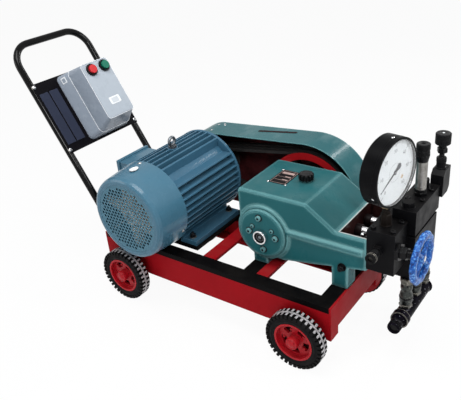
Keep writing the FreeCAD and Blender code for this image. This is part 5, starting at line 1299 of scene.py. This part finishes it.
def manifold_details():
    """Union nuts, bodies and rings of the suction manifold and its hose nipple."""
    shape = Shape("manifold_unions")
    nut_turn = math.degrees(0.3)
    for y in (5, 61, 117):
        at = axes((MANIFOLD.x, y, 0), UP)
        shape.lathe(at, [(15.6, 179.0), (16.4, 180.4), (16.4, 192.0), (14.4, 193.6)], "union_nut", 6)
        shape.lathe(at, [(12.6, 175.0), (12.6, 179.5)], "union", 32)
        body = [(11.2, 118), (13.4, 121), (15.0, 128), (15.4, 140), (14.2, 150), (12.0, 156), (12.6, 160),
                (13.8, 164), (13.8, 171), (12.4, 175.5)]
        shape.lathe(at, body, "union", 36)
        shape.lathe(at, [(15.2, 137), (16.0, 138), (16.0, 141), (15.2, 142)], "dark_steel", 36)
        shape.lathe(spun(at, nut_turn), [(14.8, 112), (15.6, 113.2), (15.6, 119.0), (14.4, 120.4)],
                    "union_nut", 6)
    pipe = axes(MANIFOLD, NEAR)
    for level, key in ((16.0, "union_nut"), (31.2, "union_nut"), (-127.0, "oily")):
        shape.ring(pipe, 18.4, 21.2, level - 1.2, level + 0.6, key)
    shape.fluted(pipe, [(14.3, 44.5, 0.2), (15.6, 46.0, 0.6), (15.6, 49.0, 0.6), (14.3, 50.4, 0.2)], 24,
                 "dark_steel")
    for level in (53.0, 57.0, 61.0):
        shape.lathe(pipe, [(14.4, level - 1.6), (15.4, level + 1.4), (14.4, level + 1.6)], "dark_steel", 36)
    shape.done("steel")


# Handle, starter box and frame


def handle_frame(up, across, out):
    """Frame on the leaning handle: x across, y up the handle, z out of its face."""
    upward = Vector((-math.sin(LEAN), 0, math.cos(LEAN)))
    outward = Vector((math.cos(LEAN), 0, math.sin(LEAN)))
    return axes(HANDLE_FOOT + upward * up + outward * out + Vector((0, across, 0)), outward, FAR)


def handle_tube():
    """The bent handle, a smooth tube that is cut level on the deck and touches the back of the panel."""
    top, bend, steps = 579.0, 60.0, 10
    near = [(-HANDLE_HALF, 0.0)]
    for i in range(steps + 1):
        x, y = polar(bend, 180 - 90 * i / steps)
        near.append((bend - HANDLE_HALF + x, top - bend + y))
    route = near + [(-across, up) for across, up in reversed(near)]
    at = handle_frame(0, 0, PANEL_FACE - TUBE)
    shape = Shape("handle_tube")
    shape.tube([at @ Vector((across, up, 0)) for across, up in route], TUBE, "handle", 40, level=DECK_TOP)
    shape.done("black_paint", instead=["handle"])


def handle_details():
    """Screws of the control panel and the painted faces of its raised strips."""
    shape = Shape("panel_screws")
    strip_wide, strip_gap, strip_low, strip_high, strip_face, border = 30.0, 3.0, 276.0, 432.0, 15.5, 0.4
    for i in range(2):
        start = -HANDLE_HALF + i * (strip_wide + strip_gap)
        end = start + strip_wide
        outline = rectangle(start + border, strip_low + border, end - border, strip_high - border)
        shape.prism(handle_frame(0, 0, strip_face), outline, -0.3, 0.4, "strip")
    for up in (262, 456):
        for across in (-HANDLE_HALF, HANDLE_HALF):
            at = handle_frame(up, across, PANEL_FACE)
            shape.lathe(at, [(7.4, 0), (7.6, 0.5), (7.4, 1.4)], "zinc", 28)
            shape.pan_head(moved(at, z=1.2), 5.8, 3.8, "chrome")
    shape.done("steel")


def box_details():
    """Seam lines round the box and its face, drawn near white as a painted highlight, blank labels and button
    collars of the starter box.
    """
    shape = Shape("starter_trim")
    face = handle_frame(0, 0, BOX_FACE)
    shape.prism(face, rounded(3, 316, 41, 338, 3.0), -0.2, 0.45, "label")
    shape.prism(face, rounded(10, 320, 34, 334, 2.5), 0.4, 0.6, "label_face")
    # Near-white seam and face-rim tubes: painted highlight.
    seam = ((-35.2, 262.8, 86.2, 457.2, 16.0), BOX_SEAM, 1.0)
    rim = ((-29.2, 282.8, 68.2, 447.2, 9.0), BOX_FACE - 0.9, 0.9)
    for outline, out, radius in (seam, rim):
        at = handle_frame(0, 0, out)
        shape.tube([at @ Vector((x, y, 0)) for x, y in rounded(*outline)], radius, "seam", 8, closed=True)
    side = handle_frame(441, -43.5, 32.0) @ axes((0, 0, 0), (-36, 0, 17), FAR)
    shape.prism(side, rounded(-9, -8, 9, 8, 2.0), -0.3, 0.4, "seam")
    shape.prism(side, rounded(-6, -5, 6, 5, 1.5), 0.35, 0.55, "box")
    collar = [(12.6, -0.6), (17.2, -0.6), (17.2, 4.0), (16.2, 5.6), (13.6, 5.6), (12.6, 4.6)]
    for across in (0, 47):
        shape.lathe(handle_frame(426, across, BOX_FACE), collar, "black_plastic", 44, joined=True)
    shape.done("grey_plastic")


def weld_beads():
    """Weld beads of the trolley frame and round the feet of the handle."""
    dice = random.Random(11)
    beads = Shape("weld_beads")
    runs = [((x, y, 163), (x, y, 169)) for x in (190, 222) for y in (-124, 84)]
    runs += [((406, y, 100), (406, y, 150)) for y in (-122, 82)]
    for start, end in runs:
        start, end = Vector(start), Vector(end)
        count = max(4, int((end - start).length / 3.0))
        sizes = [1.9 + 0.5 * (i % 2) + dice.uniform(-0.25, 0.25) for i in range(count + 1)]
        beads.tube([start.lerp(end, i / count) for i in range(count + 1)], sizes, "red", 8)
    for across in (-HANDLE_HALF, HANDLE_HALF):
        middle = HANDLE_FOOT + Vector((1.6, across, 0.8))
        foot = [middle + Vector((10.8 * x / math.cos(LEAN), 10.6 * y, 0)) for x, y in circle(1.0, 24)]
        beads.tube(foot, 2.1, "black", 8, closed=True)
    beads.done("red_paint")


camera()
studio()
for make in (enamels, metals, plastics, gauge_glass, crankcase_paint, guard_paint, pulley_paint, rubbers,
             brushed_tube, handwheel_paint, handle_black, oily_black, box_plastic, paint_nodes):
    make()
for end_name in ("front", "rear"):
    for side_name in ("near", "far"):
        tyre(end_name, side_name)
        wheel_dress(end_name, side_name)
for make in (grille, fan, end_ring, cowl_details, motor_bolts, guard_details, pulley_dress, cover_details,
             oil_cap, nameplate, case_details, plunger_details, head_details, gauge, gauge_stem,
             relief_details, adjuster_details, hand_wheel, manifold_details, handle_tube, handle_details,
             box_details, weld_beads):
    make()
